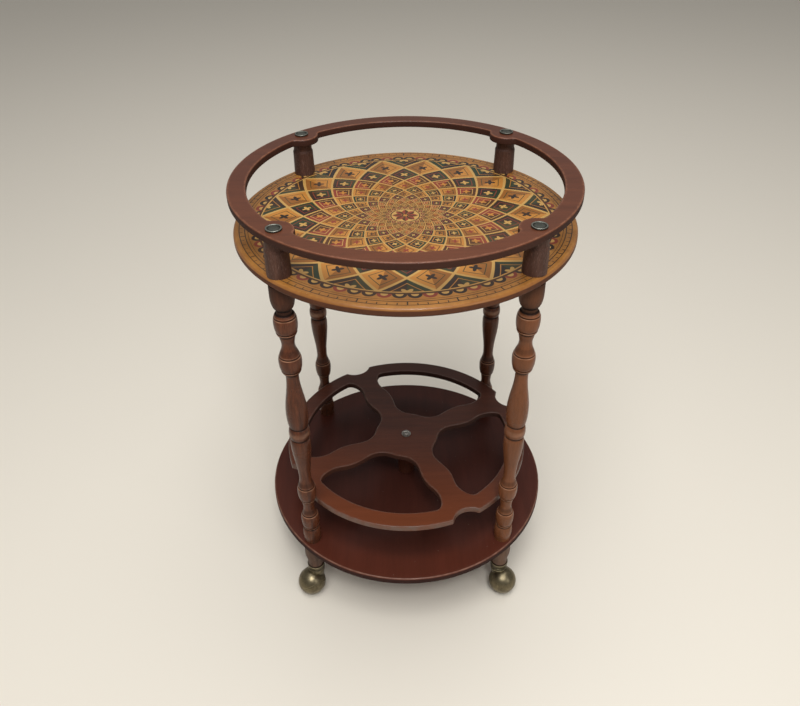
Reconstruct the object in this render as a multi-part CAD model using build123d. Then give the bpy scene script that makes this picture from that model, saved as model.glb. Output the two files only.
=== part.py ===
from build123d import *
import os
from math import asin, cos, degrees, radians, sin

# Round two-tier bar cart on ball casters. Millimetres, +Z up, origin on the floor under the centre.

# Fits
SNUG = 0.05  # radial room of a fixed fitting in its hole
BOLT_PLAY = 0.25  # radial room of a bolt in a drilled hole
RUN_PLAY = 0.06  # radial room of a bearing
FACE_PLAY = 0.3  # room between flat faces that turn on each other

# Cart: ring and tray have its radius, and the columns stand inside it on one circle
CART_R = 240.0
COLUMN_INSET = 17.0
COLUMN_CIRCLE_R = CART_R - COLUMN_INSET
COLUMN_ANGLES = {"back_right": 45.0, "back_left": 135.0, "front_left": 225.0, "front_right": 315.0}

# Gallery ring
RING_WIDTH = 25.5
RING_T = 10.0
RING_EDGE = 1.6
LOBE_R = 25.0
LOBE_FILLET = 8.0

# Gallery posts
POST_LENGTH = 50.5
POST_FOOT_R = 15.8
POST_SHOULDER_R = 15.3
POST_NECK_R = 13.9
POST_NECK_H = 11.0
POST_SHOULDER_H = 5.0
POST_SEAT_DEPTH = 1.0  # of the round seat in the tray that takes its foot

# Cap bolts through ring, post and tray
CAP_R = 10.3
CAP_T = 2.6
CAP_DISH_R = 8.2
CAP_DISH_DEPTH = 0.9
BOLT_R = 3.0
INSERT_R = 5.0
INSERT_LENGTH = 20.0

# Tray and lower shelf
TRAY_T = 13.0
TRAY_EDGE = 4.5
SHELF_OVERHANG = 1.0
SHELF_R = CART_R + SHELF_OVERHANG
SHELF_T = 13.0
SHELF_EDGE = 3.0

# Turned legs, from the shelf up: the height of each flank and the radius at its end
LEG_FOOT_R = 13.4
BASE_RISE, BASE_R = 17.0, 14.7
BASE_FALL, BASE_GROOVE_R = 15.0, 11.0
LOW_BEAD_RISE, LOW_BEAD_R = 22.0, 14.6
LOW_BEAD_FALL, RACK_NECK_R = 26.0, 8.9
RACK_NECK_RISE, RACK_BEAD_STEP_R = 16.0, 10.0
RACK_BEAD_RISE, RACK_BEAD_R = 23.0, 14.7
RACK_BEAD_FALL, LOW_NECK_R = 28.0, 9.2
LOW_VASE_RISE, LOW_VASE_R = 75.0, 14.9
LOW_VASE_FALL, COLLAR_LOW_GROOVE_R = 9.0, 11.9
COLLAR_RISE, COLLAR_R = 11.0, 15.5
COLLAR_FALL, COLLAR_TOP_GROOVE_R = 12.0, 12.0
HIGH_VASE_RISE, HIGH_VASE_R = 25.0, 15.8
HIGH_VASE_FALL, HIGH_NECK_R = 69.0, 9.0
HIGH_NECK_RISE, MID_BEAD_STEP_R = 5.0, 9.8
MID_BEAD_RISE, MID_BEAD_R = 22.0, 16.0
MID_BEAD_FALL, SLIM_NECK_R = 28.0, 8.9
SLIM_NECK_RISE, TOP_BEAD_STEP_R = 14.0, 10.8
TOP_BEAD_RISE, TOP_BEAD_R = 20.0, 16.0
TOP_BEAD_FALL, TOP_GROOVE_R = 15.0, 10.6
TOP_NECK_RISE, TOP_NECK_R = 6.0, 9.4
DRUM_RISE, DRUM_R = 20.0, 16.2
DRUM_FALL, LEG_HEAD_R = 18.0, 16.0

# Double-ended screws between legs and feet
DOWEL_SCREW_R = 3.0
DOWEL_IN_LEG = 25.0
DOWEL_IN_FOOT = 22.0

# Feet
FOOT_LENGTH = 58.5
FOOT_HEAD_R = 16.0
FOOT_HEAD_H = 20.0
FOOT_TAPER_H = 24.0
FOOT_END_R = 13.0

# Bottle rack
RACK_INSET = 16.0  # of its rim from the column circle
RACK_R = COLUMN_CIRCLE_R - RACK_INSET
RACK_T = 10.0
RACK_RIM_W = 28.0
RACK_EDGE = 1.5
OPENING_R = RACK_R - RACK_RIM_W  # outer arc of the openings
RACK_REST_ANGLE = -18.2  # middle of the first opening, from +X
HUB_R = 55.0  # middle of an opening's inner side
HUB_SIDE_R = 57.5
HUB_SIDE_ANGLE = 19.0
SPOKE_ROOT_R, SPOKE_ROOT_W = 72.0, 36.0
SPOKE_WAIST_R, SPOKE_WAIST_W = 97.0, 43.0
SPOKE_BELLY_INSET, SPOKE_BELLY_W = 54.0, 45.0  # from the outer arc
SPOKE_END_INSET, SPOKE_END_W = 29.0, 37.0
OPENING_ARC_ANGLE = 33.0  # half the angle of an opening's outer arc
NOTCH_R = 28.5
NOTCH_CENTRE_OUT = 15.0  # of its middle from the rim
OPENING_COUNT = 4

# Rack pivot
RACK_COLUMN_R = 15.0
RACK_COLUMN_H = 73.5
RACK_COLUMN_CHAMFER = 1.5
BUSH_R = 5.5
WASHER_R = 8.0
WASHER_T = 1.5
PIVOT_R = 3.0
PIVOT_HEAD_R = 6.0
PIVOT_HEAD_H = 3.4
PIVOT_HEAD_ROUND = 1.6
PIVOT_SLOT_W = 1.4
PIVOT_SLOT_DEPTH = 1.5
PIVOT_TAIL = 3.0
NUT_ACROSS_FLATS = 10.0
NUT_T = 5.0

# Ball casters: the ball is split by a plane square to the axle, which slopes down to one side
BALL_R = 23.5
CASTER_TRAIL = 12.0
AXLE_SLOPE = 45.0
SEAM_OFFSET = 6.0
SEAM_GAP = 0.8
SHELL_T = 2.5
AXLE_R = 2.5
AXLE_SINK = 14.0  # past the ball's centre
AXLE_BOSS_R = 5.5
AXLE_HEAD_R = 4.4
AXLE_HEAD_T = 1.5
AXLE_HEAD_DEPTH = 3.6
AXLE_HEAD_ROOM = 0.4
HOOD_NECK_H = 9.0  # from the ball's top to the cup
HOOD_COLLAR_R = 14.2
HOOD_GROOVE_R = 13.0
HOOD_RING_R = 13.8
HOOD_COLLAR_H = 3.4
HOOD_GROOVE_H = 1.6
HOOD_RING_H = 2.2
HOOD_NECK_END_R = 10.6
HOOD_NECK_DROP = 19.0  # from the ball's top to the neck's lower end inside the ball
CUP_FLOOR_T = 1.6
CUP_WALL = 1.1
CUP_DEPTH = 7.5
CUP_BEAD = 0.5
SLEEVE_WALL = 1.4
SLEEVE_LENGTH = 30.0
STEM_R = 4.0
STEM_SINK = 10.0
STEM_END_ROOM = 2.0
CASTER_YAWS = {"back_right": 60.0, "back_left": 160.0, "front_left": 218.0, "front_right": -52.0}

# How a flank of a turned piece ends: running on along the axis, or in a crease that a bead meets square
SMOOTH = "smooth"
CREASE = "crease"
ROUND_RATIO = 0.5523  # of a curve's handles to its flank: a quarter ellipse
FLOW_RATIO = 0.4

# Heights from the floor
CUP_Z = 2 * BALL_R + HOOD_NECK_H + FACE_PLAY
FOOT_Z = CUP_Z + CUP_FLOOR_T
SHELF_Z = FOOT_Z + FOOT_LENGTH
LEG_Z = SHELF_Z + SHELF_T
LEG_TURNINGS = [
    (BASE_RISE, BASE_R, SMOOTH),
    (BASE_FALL, BASE_GROOVE_R, CREASE),
    (LOW_BEAD_RISE, LOW_BEAD_R, SMOOTH),
    (LOW_BEAD_FALL, RACK_NECK_R, SMOOTH),
    (RACK_NECK_RISE, RACK_BEAD_STEP_R, CREASE),
    (RACK_BEAD_RISE, RACK_BEAD_R, SMOOTH),
    (RACK_BEAD_FALL, LOW_NECK_R, SMOOTH),
    (LOW_VASE_RISE, LOW_VASE_R, SMOOTH),
    (LOW_VASE_FALL, COLLAR_LOW_GROOVE_R, CREASE),
    (COLLAR_RISE, COLLAR_R, SMOOTH),
    (COLLAR_FALL, COLLAR_TOP_GROOVE_R, CREASE),
    (HIGH_VASE_RISE, HIGH_VASE_R, SMOOTH),
    (HIGH_VASE_FALL, HIGH_NECK_R, SMOOTH),
    (HIGH_NECK_RISE, MID_BEAD_STEP_R, CREASE),
    (MID_BEAD_RISE, MID_BEAD_R, SMOOTH),
    (MID_BEAD_FALL, SLIM_NECK_R, SMOOTH),
    (SLIM_NECK_RISE, TOP_BEAD_STEP_R, CREASE),
    (TOP_BEAD_RISE, TOP_BEAD_R, SMOOTH),
    (TOP_BEAD_FALL, TOP_GROOVE_R, CREASE),
    (TOP_NECK_RISE, TOP_NECK_R, CREASE),
    (DRUM_RISE, DRUM_R, SMOOTH),
    (DRUM_FALL, LEG_HEAD_R, SMOOTH),
]
LEG_LENGTH = sum(rise for rise, radius, end in LEG_TURNINGS)
TRAY_Z = LEG_Z + LEG_LENGTH
POST_Z = TRAY_Z + TRAY_T
RING_Z = POST_Z + POST_LENGTH
CAP_Z = RING_Z + RING_T
THRUST_WASHER_Z = LEG_Z + RACK_COLUMN_H
BUSH_Z = THRUST_WASHER_Z + WASHER_T
RACK_Z = BUSH_Z + FACE_PLAY
BUSH_LENGTH = RACK_T + 2 * FACE_PLAY
TOP_WASHER_Z = BUSH_Z + BUSH_LENGTH
PIVOT_HEAD_Z = TOP_WASHER_Z + WASHER_T
BOTTOM_WASHER_Z = SHELF_Z - WASHER_T
NUT_Z = BOTTOM_WASHER_Z - NUT_T


def column_place(name, z):
    """Place on the axis of the named column, at a height above the floor."""
    angle = radians(COLUMN_ANGLES[name])
    return Pos(COLUMN_CIRCLE_R * cos(angle), COLUMN_CIRCLE_R * sin(angle), z)


def upright(radius, height):
    """Cylinder that stands on the XY plane."""
    return Cylinder(radius, height, align=(Align.CENTER, Align.CENTER, Align.MIN))


def tube(radius, bore_radius, height):
    """Upright tube that stands on the XY plane."""
    return upright(radius, height) - upright(bore_radius, height)


def flank(radius, height, end_radius, end_height, leaves_square, meets_square):
    """Curve between two radii: a quarter round towards a crease, a flowing double curve elsewhere."""
    step, rise = end_radius - radius, end_height - height
    handle = ROUND_RATIO if leaves_square or meets_square else FLOW_RATIO
    leaving = (handle * step, 0, 0) if leaves_square else (0, 0, handle * rise)
    meeting = (handle * step, 0, 0) if meets_square else (0, 0, handle * rise)
    start, end = Vector(radius, 0, height), Vector(end_radius, 0, end_height)
    return Bezier(start, start + leaving, end - meeting, end)


def turned(start_radius, turnings):
    """Solid turned about Z from flanks, each with its height, its end radius and the way it ends."""
    edges = []
    radius, height, start = start_radius, 0.0, SMOOTH
    for rise, end_radius, end in turnings:
        leaves_square = start == CREASE and end_radius > radius
        meets_square = end == CREASE and end_radius < radius
        edges.append(flank(radius, height, end_radius, height + rise, leaves_square, meets_square))
        radius, height, start = end_radius, height + rise, end
    edges.append(Polyline((radius, 0, height), (0, 0, height), (0, 0, 0), (start_radius, 0, 0)))
    return revolve(make_face(edges), Axis.Z)


def column_holes(radius, depth):
    """Upright holes on all four columns, from the XY plane up."""
    return [column_place(name, 0) * upright(radius, depth) for name in COLUMN_ANGLES]


def round_board(radius, thickness, edge):
    """Disc with rounded upper and lower edges."""
    disc = upright(radius, thickness)
    rims = disc.edges().filter_by(GeomType.CIRCLE)
    return fillet(rims, edge)


def gallery_ring():
    """Ring with an inner lobe at each column and a hole for each cap bolt."""
    inner_r = CART_R - RING_WIDTH
    outline = Circle(CART_R) - Circle(inner_r)
    for name in COLUMN_ANGLES:
        outline += column_place(name, 0) * Circle(LOBE_R)
    outline &= Circle(CART_R)
    inner_corners = [v for v in outline.vertices() if abs(Vector(*v).length - inner_r) < SNUG]
    ring = extrude(fillet(inner_corners, LOBE_FILLET), RING_T)
    ring = fillet(ring.faces().sort_by(Axis.Z)[-1].edges(), RING_EDGE)
    return Pos(0, 0, RING_Z) * (ring - column_holes(BOLT_R + BOLT_PLAY, RING_T))


def gallery_post():
    """Short post with a narrower neck under the ring and a foot let into the tray, bored for its bolt."""
    turnings = [
        (POST_SEAT_DEPTH, POST_FOOT_R, SMOOTH),
        (POST_LENGTH - POST_NECK_H - POST_SHOULDER_H, POST_SHOULDER_R, SMOOTH),
        (POST_SHOULDER_H, POST_NECK_R, SMOOTH),
        (POST_NECK_H, POST_NECK_R, SMOOTH),
    ]
    return turned(POST_FOOT_R, turnings) - upright(BOLT_R + BOLT_PLAY, POST_SEAT_DEPTH + POST_LENGTH)


def cap_bolt():
    """Dished round cap on the ring, with a shank that ends in the leg's insert."""
    cap = upright(CAP_R, CAP_T)
    cap = fillet(cap.faces().sort_by(Axis.Z)[-1].edges(), CAP_DISH_DEPTH)
    cap -= Pos(0, 0, CAP_T - CAP_DISH_DEPTH) * upright(CAP_DISH_R, CAP_DISH_DEPTH)
    reach = RING_T + POST_LENGTH + TRAY_T + INSERT_LENGTH
    return cap + Pos(0, 0, -reach) * upright(BOLT_R, reach)


def tray():
    """Round board with a well rounded edge, a shallow seat for each post and holes for the cap bolts."""
    board = round_board(CART_R, TRAY_T, TRAY_EDGE) - column_holes(BOLT_R + BOLT_PLAY, TRAY_T)
    seat_z = TRAY_T - POST_SEAT_DEPTH
    seats = [Pos(0, 0, seat_z) * seat for seat in column_holes(POST_FOOT_R + SNUG, POST_SEAT_DEPTH)]
    return Pos(0, 0, TRAY_Z) * (board - seats)


def leg():
    """Turned leg with a threaded insert's hole in its head and a screw's hole in its foot."""
    body = turned(LEG_FOOT_R, LEG_TURNINGS)
    body -= Pos(0, 0, LEG_LENGTH - INSERT_LENGTH) * upright(INSERT_R + SNUG, INSERT_LENGTH)
    return body - upright(DOWEL_SCREW_R + SNUG, DOWEL_IN_LEG)


def lower_shelf():
    """Round board, drilled for the leg screws and the rack's pivot."""
    board = round_board(SHELF_R, SHELF_T, SHELF_EDGE) - upright(PIVOT_R + BOLT_PLAY, SHELF_T)
    return Pos(0, 0, SHELF_Z) * (board - column_holes(DOWEL_SCREW_R + BOLT_PLAY, SHELF_T))


def foot():
    """Short foot that tapers into the caster's cup, bored for its screw and its sleeve."""
    turnings = [
        (FOOT_LENGTH - FOOT_HEAD_H - FOOT_TAPER_H, FOOT_END_R, SMOOTH),
        (FOOT_TAPER_H, FOOT_HEAD_R, SMOOTH),
        (FOOT_HEAD_H, FOOT_HEAD_R, SMOOTH),
    ]
    body = turned(FOOT_END_R, turnings)
    body -= Pos(0, 0, FOOT_LENGTH - DOWEL_IN_FOOT) * upright(DOWEL_SCREW_R + SNUG, DOWEL_IN_FOOT)
    return body - upright(STEM_R + RUN_PLAY + SLEEVE_WALL + SNUG, SLEEVE_LENGTH)


def spoke_point(radius, spoke_width):
    """Point on an opening's side, half a spoke's width from the spoke's middle line."""
    angle = 180.0 / OPENING_COUNT - degrees(asin(spoke_width / 2 / radius))
    return polar_point(radius, angle)


def polar_point(radius, angle):
    """Point at a radius and an angle in degrees from +X."""
    return (radius * cos(radians(angle)), radius * sin(radians(angle)))


def opening_face():
    """Opening between two spokes, about +X: a wavy inner side and a round outer arc."""
    side = [
        polar_point(HUB_SIDE_R, HUB_SIDE_ANGLE),
        spoke_point(SPOKE_ROOT_R, SPOKE_ROOT_W),
        spoke_point(SPOKE_WAIST_R, SPOKE_WAIST_W),
        spoke_point(OPENING_R - SPOKE_BELLY_INSET, SPOKE_BELLY_W),
        spoke_point(OPENING_R - SPOKE_END_INSET, SPOKE_END_W),
        polar_point(OPENING_R, OPENING_ARC_ANGLE),
    ]
    other_side = [(x, -y) for x, y in reversed(side)]
    turn = radians(OPENING_ARC_ANGLE)
    wave = Spline(
        *other_side,
        (HUB_R, 0),
        *side,
        tangents=[(-sin(turn), -cos(turn)), (sin(turn), -cos(turn))],
    )
    arc = ThreePointArc(side[-1], (OPENING_R, 0), other_side[0])
    return make_face([wave, arc])


def bottle_rack():
    """Disc with openings for bottles, and a rim notch at the end of each spoke."""
    pitch = 360.0 / OPENING_COUNT
    notch = Pos(RACK_R + NOTCH_CENTRE_OUT, 0) * Circle(NOTCH_R)
    outline = Circle(RACK_R) - Circle(BUSH_R + RUN_PLAY)
    for index in range(OPENING_COUNT):
        outline -= Rot(0, 0, index * pitch) * opening_face()
        outline -= Rot(0, 0, (index + 0.5) * pitch) * notch
    disc = extrude(outline, RACK_T)
    disc = fillet(disc.faces().sort_by(Axis.Z)[-1].outer_wire().edges(), RACK_EDGE)
    return Pos(0, 0, RACK_Z) * Rot(0, 0, RACK_REST_ANGLE) * disc


def rack_column():
    """Turned spacer between the shelf and the rack."""
    body = upright(RACK_COLUMN_R, RACK_COLUMN_H)
    body = chamfer(body.edges().filter_by(GeomType.CIRCLE), RACK_COLUMN_CHAMFER)
    return Pos(0, 0, LEG_Z) * (body - upright(PIVOT_R + BOLT_PLAY, RACK_COLUMN_H))


def pivot_bolt():
    """Slotted bolt through the rack, the column and the shelf."""
    head = upright(PIVOT_HEAD_R, PIVOT_HEAD_H)
    head = fillet(head.faces().sort_by(Axis.Z)[-1].edges(), PIVOT_HEAD_ROUND)
    slot = Box(2 * PIVOT_HEAD_R, PIVOT_SLOT_W, 2 * PIVOT_SLOT_DEPTH)
    head -= Pos(0, 0, PIVOT_HEAD_H) * slot
    reach = PIVOT_HEAD_Z - NUT_Z + PIVOT_TAIL
    return Pos(0, 0, PIVOT_HEAD_Z) * (head + Pos(0, 0, -reach) * upright(PIVOT_R, reach))


def pivot_washers():
    """Equal washers over the rack, under the rack and under the shelf."""
    washer = tube(WASHER_R, PIVOT_R + BOLT_PLAY, WASHER_T)
    return Compound([Pos(0, 0, z) * washer for z in (BOTTOM_WASHER_Z, THRUST_WASHER_Z, TOP_WASHER_Z)])


def pivot_nut():
    """Hexagonal nut under the shelf."""
    hexagon = RegularPolygon(NUT_ACROSS_FLATS / 2, 6, major_radius=False)
    return Pos(0, 0, NUT_Z) * extrude(hexagon - Circle(PIVOT_R + SNUG), NUT_T)


# Each caster is drawn with its stem on the Z axis, the ball trailing along +X and the wheel on the +Y side
BALL_CENTRE = Vector(CASTER_TRAIL, 0, BALL_R)
AXLE_LINE = Vector(0, cos(radians(AXLE_SLOPE)), -sin(radians(AXLE_SLOPE)))
HOOD_TOP_Z = 2 * BALL_R + HOOD_NECK_H


def along_axle(distance):
    """Plane square to the axle, at a distance from the ball's centre towards the wheel."""
    return Plane(BALL_CENTRE + AXLE_LINE * distance, z_dir=AXLE_LINE)


def axle_rod(radius, start, end):
    """Cylinder on the axle's line between two distances from the ball's centre."""
    return along_axle(start) * upright(radius, end - start)


def ball(radius):
    """Ball about the caster's centre, with its poles on the axle's line."""
    return along_axle(0) * Sphere(radius)


def hood_neck():
    """Ringed neck about the stem, from inside the ball up to the cup."""
    collar_z = HOOD_TOP_Z - HOOD_COLLAR_H
    groove_z = collar_z - HOOD_GROOVE_H
    ring_z = groove_z - HOOD_RING_H
    profile = Polyline(
        (0, 0, 2 * BALL_R - HOOD_NECK_DROP),
        (HOOD_NECK_END_R, 0, 2 * BALL_R - HOOD_NECK_DROP),
        (HOOD_GROOVE_R, 0, ring_z),
        (HOOD_RING_R, 0, ring_z),
        (HOOD_RING_R, 0, groove_z),
        (HOOD_GROOVE_R, 0, groove_z),
        (HOOD_GROOVE_R, 0, collar_z),
        (HOOD_COLLAR_R, 0, collar_z),
        (HOOD_COLLAR_R, 0, HOOD_TOP_Z),
        (0, 0, HOOD_TOP_Z),
        close=True,
    )
    return revolve(make_face(profile), Axis.Z)


def caster_hood():
    """Hollow upper part of the ball with its neck, bored for the stem and the axle."""
    end = SEAM_OFFSET - SEAM_GAP / 2
    hollow = ball(BALL_R - SHELL_T) - axle_rod(AXLE_BOSS_R, -BALL_R, BALL_R)
    hood = ball(BALL_R) + hood_neck() - hollow - axle_rod(2 * BALL_R, end, 2 * BALL_R)
    hood -= axle_rod(AXLE_R + SNUG, -AXLE_SINK, end)
    return hood - Pos(0, 0, HOOD_TOP_Z - STEM_SINK) * upright(STEM_R + SNUG, STEM_SINK)


def caster_wheel():
    """Hollow lower part of the ball with a hub that runs on the axle and a recess for its head."""
    start = SEAM_OFFSET + SEAM_GAP / 2
    recess_r = AXLE_HEAD_R + AXLE_HEAD_ROOM
    recess_floor = BALL_R - AXLE_HEAD_DEPTH
    hollow = ball(BALL_R - SHELL_T) - axle_rod(AXLE_BOSS_R, -BALL_R, BALL_R)
    hollow -= axle_rod(recess_r + SHELL_T, recess_floor - SHELL_T, BALL_R)
    wheel = ball(BALL_R) - hollow - axle_rod(2 * BALL_R, -2 * BALL_R, start)
    return wheel - axle_rod(recess_r, recess_floor, BALL_R) - axle_rod(AXLE_R + RUN_PLAY, start, BALL_R)


def caster_axle():
    """Pin that is fixed in the hood and keeps the wheel on with its head."""
    head_start = BALL_R - AXLE_HEAD_DEPTH + FACE_PLAY
    return axle_rod(AXLE_R, -AXLE_SINK, head_start) + axle_rod(
        AXLE_HEAD_R, head_start, head_start + AXLE_HEAD_T
    )


def caster_stem():
    """Pin that is fixed in the hood and turns in the sleeve."""
    bottom = HOOD_TOP_Z - STEM_SINK
    return Pos(0, 0, bottom) * upright(STEM_R, FOOT_Z + SLEEVE_LENGTH - STEM_END_ROOM - bottom)


def caster_socket():
    """Cup round the foot's end, with a sleeve up into the foot."""
    cup_r = FOOT_END_R + SNUG
    outer_r = cup_r + CUP_WALL
    rim_z = CUP_FLOOR_T + CUP_DEPTH
    bore_r = STEM_R + RUN_PLAY
    bead = upright(outer_r + CUP_BEAD, 2 * CUP_BEAD)
    cup = upright(outer_r, rim_z) + Pos(0, 0, rim_z - 2 * CUP_BEAD) * bead
    cup -= Pos(0, 0, CUP_FLOOR_T) * upright(cup_r, CUP_DEPTH)
    sleeve = upright(bore_r + SLEEVE_WALL, CUP_FLOOR_T + SLEEVE_LENGTH)
    return cup + sleeve - upright(bore_r, CUP_FLOOR_T + SLEEVE_LENGTH)


def on_columns(shape, z):
    """Group of equal pieces, one on each column."""
    return Compound([column_place(name, z) * shape for name in COLUMN_ANGLES])


def build():
    """All pieces by node name, each in its place."""
    insert = tube(INSERT_R, BOLT_R + SNUG, INSERT_LENGTH)
    dowel_screw = upright(DOWEL_SCREW_R, DOWEL_IN_FOOT + SHELF_T + DOWEL_IN_LEG)
    nodes = {
        "gallery_ring": gallery_ring(),
        "cap_bolts": on_columns(cap_bolt(), CAP_Z),
        "tray": tray(),
        "leg_inserts": on_columns(insert, TRAY_Z - INSERT_LENGTH),
        "lower_shelf": lower_shelf(),
        "shelf_screws": on_columns(dowel_screw, SHELF_Z - DOWEL_IN_FOOT),
        "bottle_rack": bottle_rack(),
        "rack_column": rack_column(),
        "rack_bush": Pos(0, 0, BUSH_Z) * tube(BUSH_R, PIVOT_R + BOLT_PLAY, BUSH_LENGTH),
        "pivot_bolt": pivot_bolt(),
        "pivot_washers": pivot_washers(),
        "pivot_nut": pivot_nut(),
    }
    straight = {
        "gallery_post": (gallery_post(), POST_Z - POST_SEAT_DEPTH),
        "leg": (leg(), LEG_Z),
        "foot": (foot(), FOOT_Z),
        "caster_socket": (caster_socket(), CUP_Z),
    }
    swivelling = {
        "caster_stem": caster_stem(),
        "caster_hood": caster_hood(),
        "caster_axle": caster_axle(),
        "caster_wheel": caster_wheel(),
    }
    for name in COLUMN_ANGLES:
        for piece, (shape, z) in straight.items():
            nodes[f"{piece}_{name}"] = column_place(name, z) * shape
        for piece, shape in swivelling.items():
            nodes[f"{piece}_{name}"] = column_place(name, 0) * Rot(0, 0, CASTER_YAWS[name]) * shape
    return nodes


os.makedirs("parts", exist_ok=True)
for node, shape in build().items():
    export_step(shape, f"parts/{node}.step")
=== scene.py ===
"""Looks of a round two-tier bar cart: gallery ring, printed tray, turned legs, bottle rack and ball casters."""

import logging
import math
from dataclasses import dataclass, field
from enum import Enum
from typing import Iterable, Sequence

import bmesh
import bpy
import numpy as np
from mathutils import Matrix, Vector
from mathutils.geometry import delaunay_2d_cdt


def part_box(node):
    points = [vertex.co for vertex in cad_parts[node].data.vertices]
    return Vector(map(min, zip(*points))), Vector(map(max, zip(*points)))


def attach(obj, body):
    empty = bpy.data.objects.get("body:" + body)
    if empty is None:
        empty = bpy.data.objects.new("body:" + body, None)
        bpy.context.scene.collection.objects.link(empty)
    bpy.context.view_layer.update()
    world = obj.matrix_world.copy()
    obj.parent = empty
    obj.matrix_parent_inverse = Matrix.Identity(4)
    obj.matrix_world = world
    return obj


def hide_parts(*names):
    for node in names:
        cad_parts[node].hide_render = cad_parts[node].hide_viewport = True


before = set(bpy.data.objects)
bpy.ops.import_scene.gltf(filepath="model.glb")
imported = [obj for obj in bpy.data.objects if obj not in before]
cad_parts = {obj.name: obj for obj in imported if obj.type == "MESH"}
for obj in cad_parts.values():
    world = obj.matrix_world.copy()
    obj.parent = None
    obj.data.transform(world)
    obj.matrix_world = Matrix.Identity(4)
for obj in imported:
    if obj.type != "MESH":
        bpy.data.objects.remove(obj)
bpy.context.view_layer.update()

MM = 0.001
TAU = 2.0 * math.pi
COLUMN_NAMES = ("back_right", "back_left", "front_left", "front_right")
FRAME_BODY = "frame"
TONE = "tone"
STAIN_AND_LIGHT = "stain"

WELD = 2e-6
TURNED_CREASE = 34.0
BOARD_CREASE = 40.0
CAD_CREASE = 30.0
WOOD_RELIEF = 0.4 * MM
METAL_RELIEF = 0.2 * MM
BLACK = (0.0, 0.0, 0.0, 1.0)
GREY = (0.5, 0.5, 0.5, 1.0)
FLOAT_SOCKET = "NodeSocketFloat"
COLOUR_SOCKET = "NodeSocketColor"
VECTOR_SOCKET = "NodeSocketVector"
GEOMETRY_SOCKET = "NodeSocketGeometry"

log = logging.getLogger("bar_cart")

Colour = tuple[float, float, float]
Point = tuple[float, float]


def linear(colour: Colour) -> tuple[float, float, float, float]:
    """Turns a display colour of 0 to 255 into the linear colour that a shader takes.

    Args:
        colour: red, green and blue as they look on a display.

    Returns:
        Linear red, green, blue and alpha.
    """
    parts = []
    for value in colour:
        share = value / 255.0
        parts.append(share / 12.92 if share <= 0.04045 else ((share + 0.055) / 1.055) ** 2.4)
    return (parts[0], parts[1], parts[2], 1.0)


def height_of(node: str) -> tuple[float, float]:
    """Lowest and highest point of a CAD node, in millimetres."""
    low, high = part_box(node)
    return low.z / MM, high.z / MM


# Node trees


class Wiring:
    """Adds nodes to one tree and joins their sockets."""

    def __init__(self, tree: bpy.types.NodeTree) -> None:
        """Starts on an empty tree."""
        self.tree = tree
        tree.nodes.clear()

    def node(self, kind: str, inputs: dict | None = None, **settings: object) -> bpy.types.Node:
        """Adds a node.

        Args:
            kind: the node's type.
            inputs: values, sockets or fields by the name or number of the input.
            settings: properties of the node.

        Returns:
            The node.
        """
        made = self.tree.nodes.new(kind)
        for name, value in settings.items():
            setattr(made, name, value)
        for key, value in (inputs or {}).items():
            self.feed(made.inputs[key], value)
        return made

    def feed(self, socket: bpy.types.NodeSocket, value: object) -> None:
        """Links a socket or field to an input, or sets the input's own value."""
        if isinstance(value, Field):
            value = value.socket
        if isinstance(value, bpy.types.NodeSocket):
            self.tree.links.new(value, socket)
        else:
            socket.default_value = value

    def field(self, socket: bpy.types.NodeSocket) -> "Field":
        """Wraps an output, so that it can be reckoned with."""
        return Field(self, socket)

    def blend(self, factor: object, first: object, second: object) -> bpy.types.NodeSocket:
        """Mixes two colours.

        Args:
            factor: share of the second colour.
            first: the colour below.
            second: the colour above.

        Returns:
            The mixed colour.
        """
        made = self.node("ShaderNodeMix", {0: factor, 6: first, 7: second}, data_type="RGBA")
        return made.outputs[2]

    def spread(self, value: object, low: float, high: float, to_low: float = 0.0, to_high: float = 1.0) -> "Field":
        """Stretches a range of values onto another, held at its ends."""
        inputs = {0: value, 1: low, 2: high, 3: to_low, 4: to_high}
        return self.field(self.node("ShaderNodeMapRange", inputs).outputs[0])

    def noise(self, vector: object, scale: object, detail: float = 2.0, distortion: float = 0.0) -> "Field":
        """Cloudy noise between 0 and 1."""
        inputs = {"Vector": vector, "Scale": scale, "Detail": detail, "Distortion": distortion}
        return self.field(self.node("ShaderNodeTexNoise", inputs).outputs[0])

    def place(self) -> bpy.types.NodeSocket:
        """Object coordinates."""
        return self.node("ShaderNodeTexCoord").outputs["Object"]

    def millimetres(self, vector: object, axes: int) -> list["Field"]:
        """First coordinates of a place in metres, in millimetres."""
        split = self.node("ShaderNodeSeparateXYZ", {0: vector})
        return [self.field(split.outputs[axis]) * (1.0 / MM) for axis in range(axes)]

    def carried(self, name: str) -> "Field":
        """Value of an attribute that the piece carries."""
        return self.field(self.node("ShaderNodeAttribute", attribute_name=name).outputs["Fac"])

    def fields(self, node: bpy.types.Node) -> dict[str, "Field"]:
        """A node's outputs by name."""
        return {socket.name: self.field(socket) for socket in node.outputs}

    def group(self, tree: bpy.types.NodeTree, inputs: dict) -> dict[str, "Field"]:
        """What a shader group gives for these inputs."""
        return self.fields(self.node("ShaderNodeGroup", inputs, node_tree=tree))

    def bump(self, strength: float, distance: float, height: object) -> bpy.types.NodeSocket:
        """Normal of a surface with this height."""
        inputs = {"Strength": strength, "Distance": distance, "Height": height}
        return self.node("ShaderNodeBump", inputs).outputs[0]

    def principled(self, inputs: dict) -> None:
        """Ends a material with a shader that takes these inputs."""
        shader = self.node("ShaderNodeBsdfPrincipled", inputs)
        self.node("ShaderNodeOutputMaterial", {"Surface": shader.outputs[0]})


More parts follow.
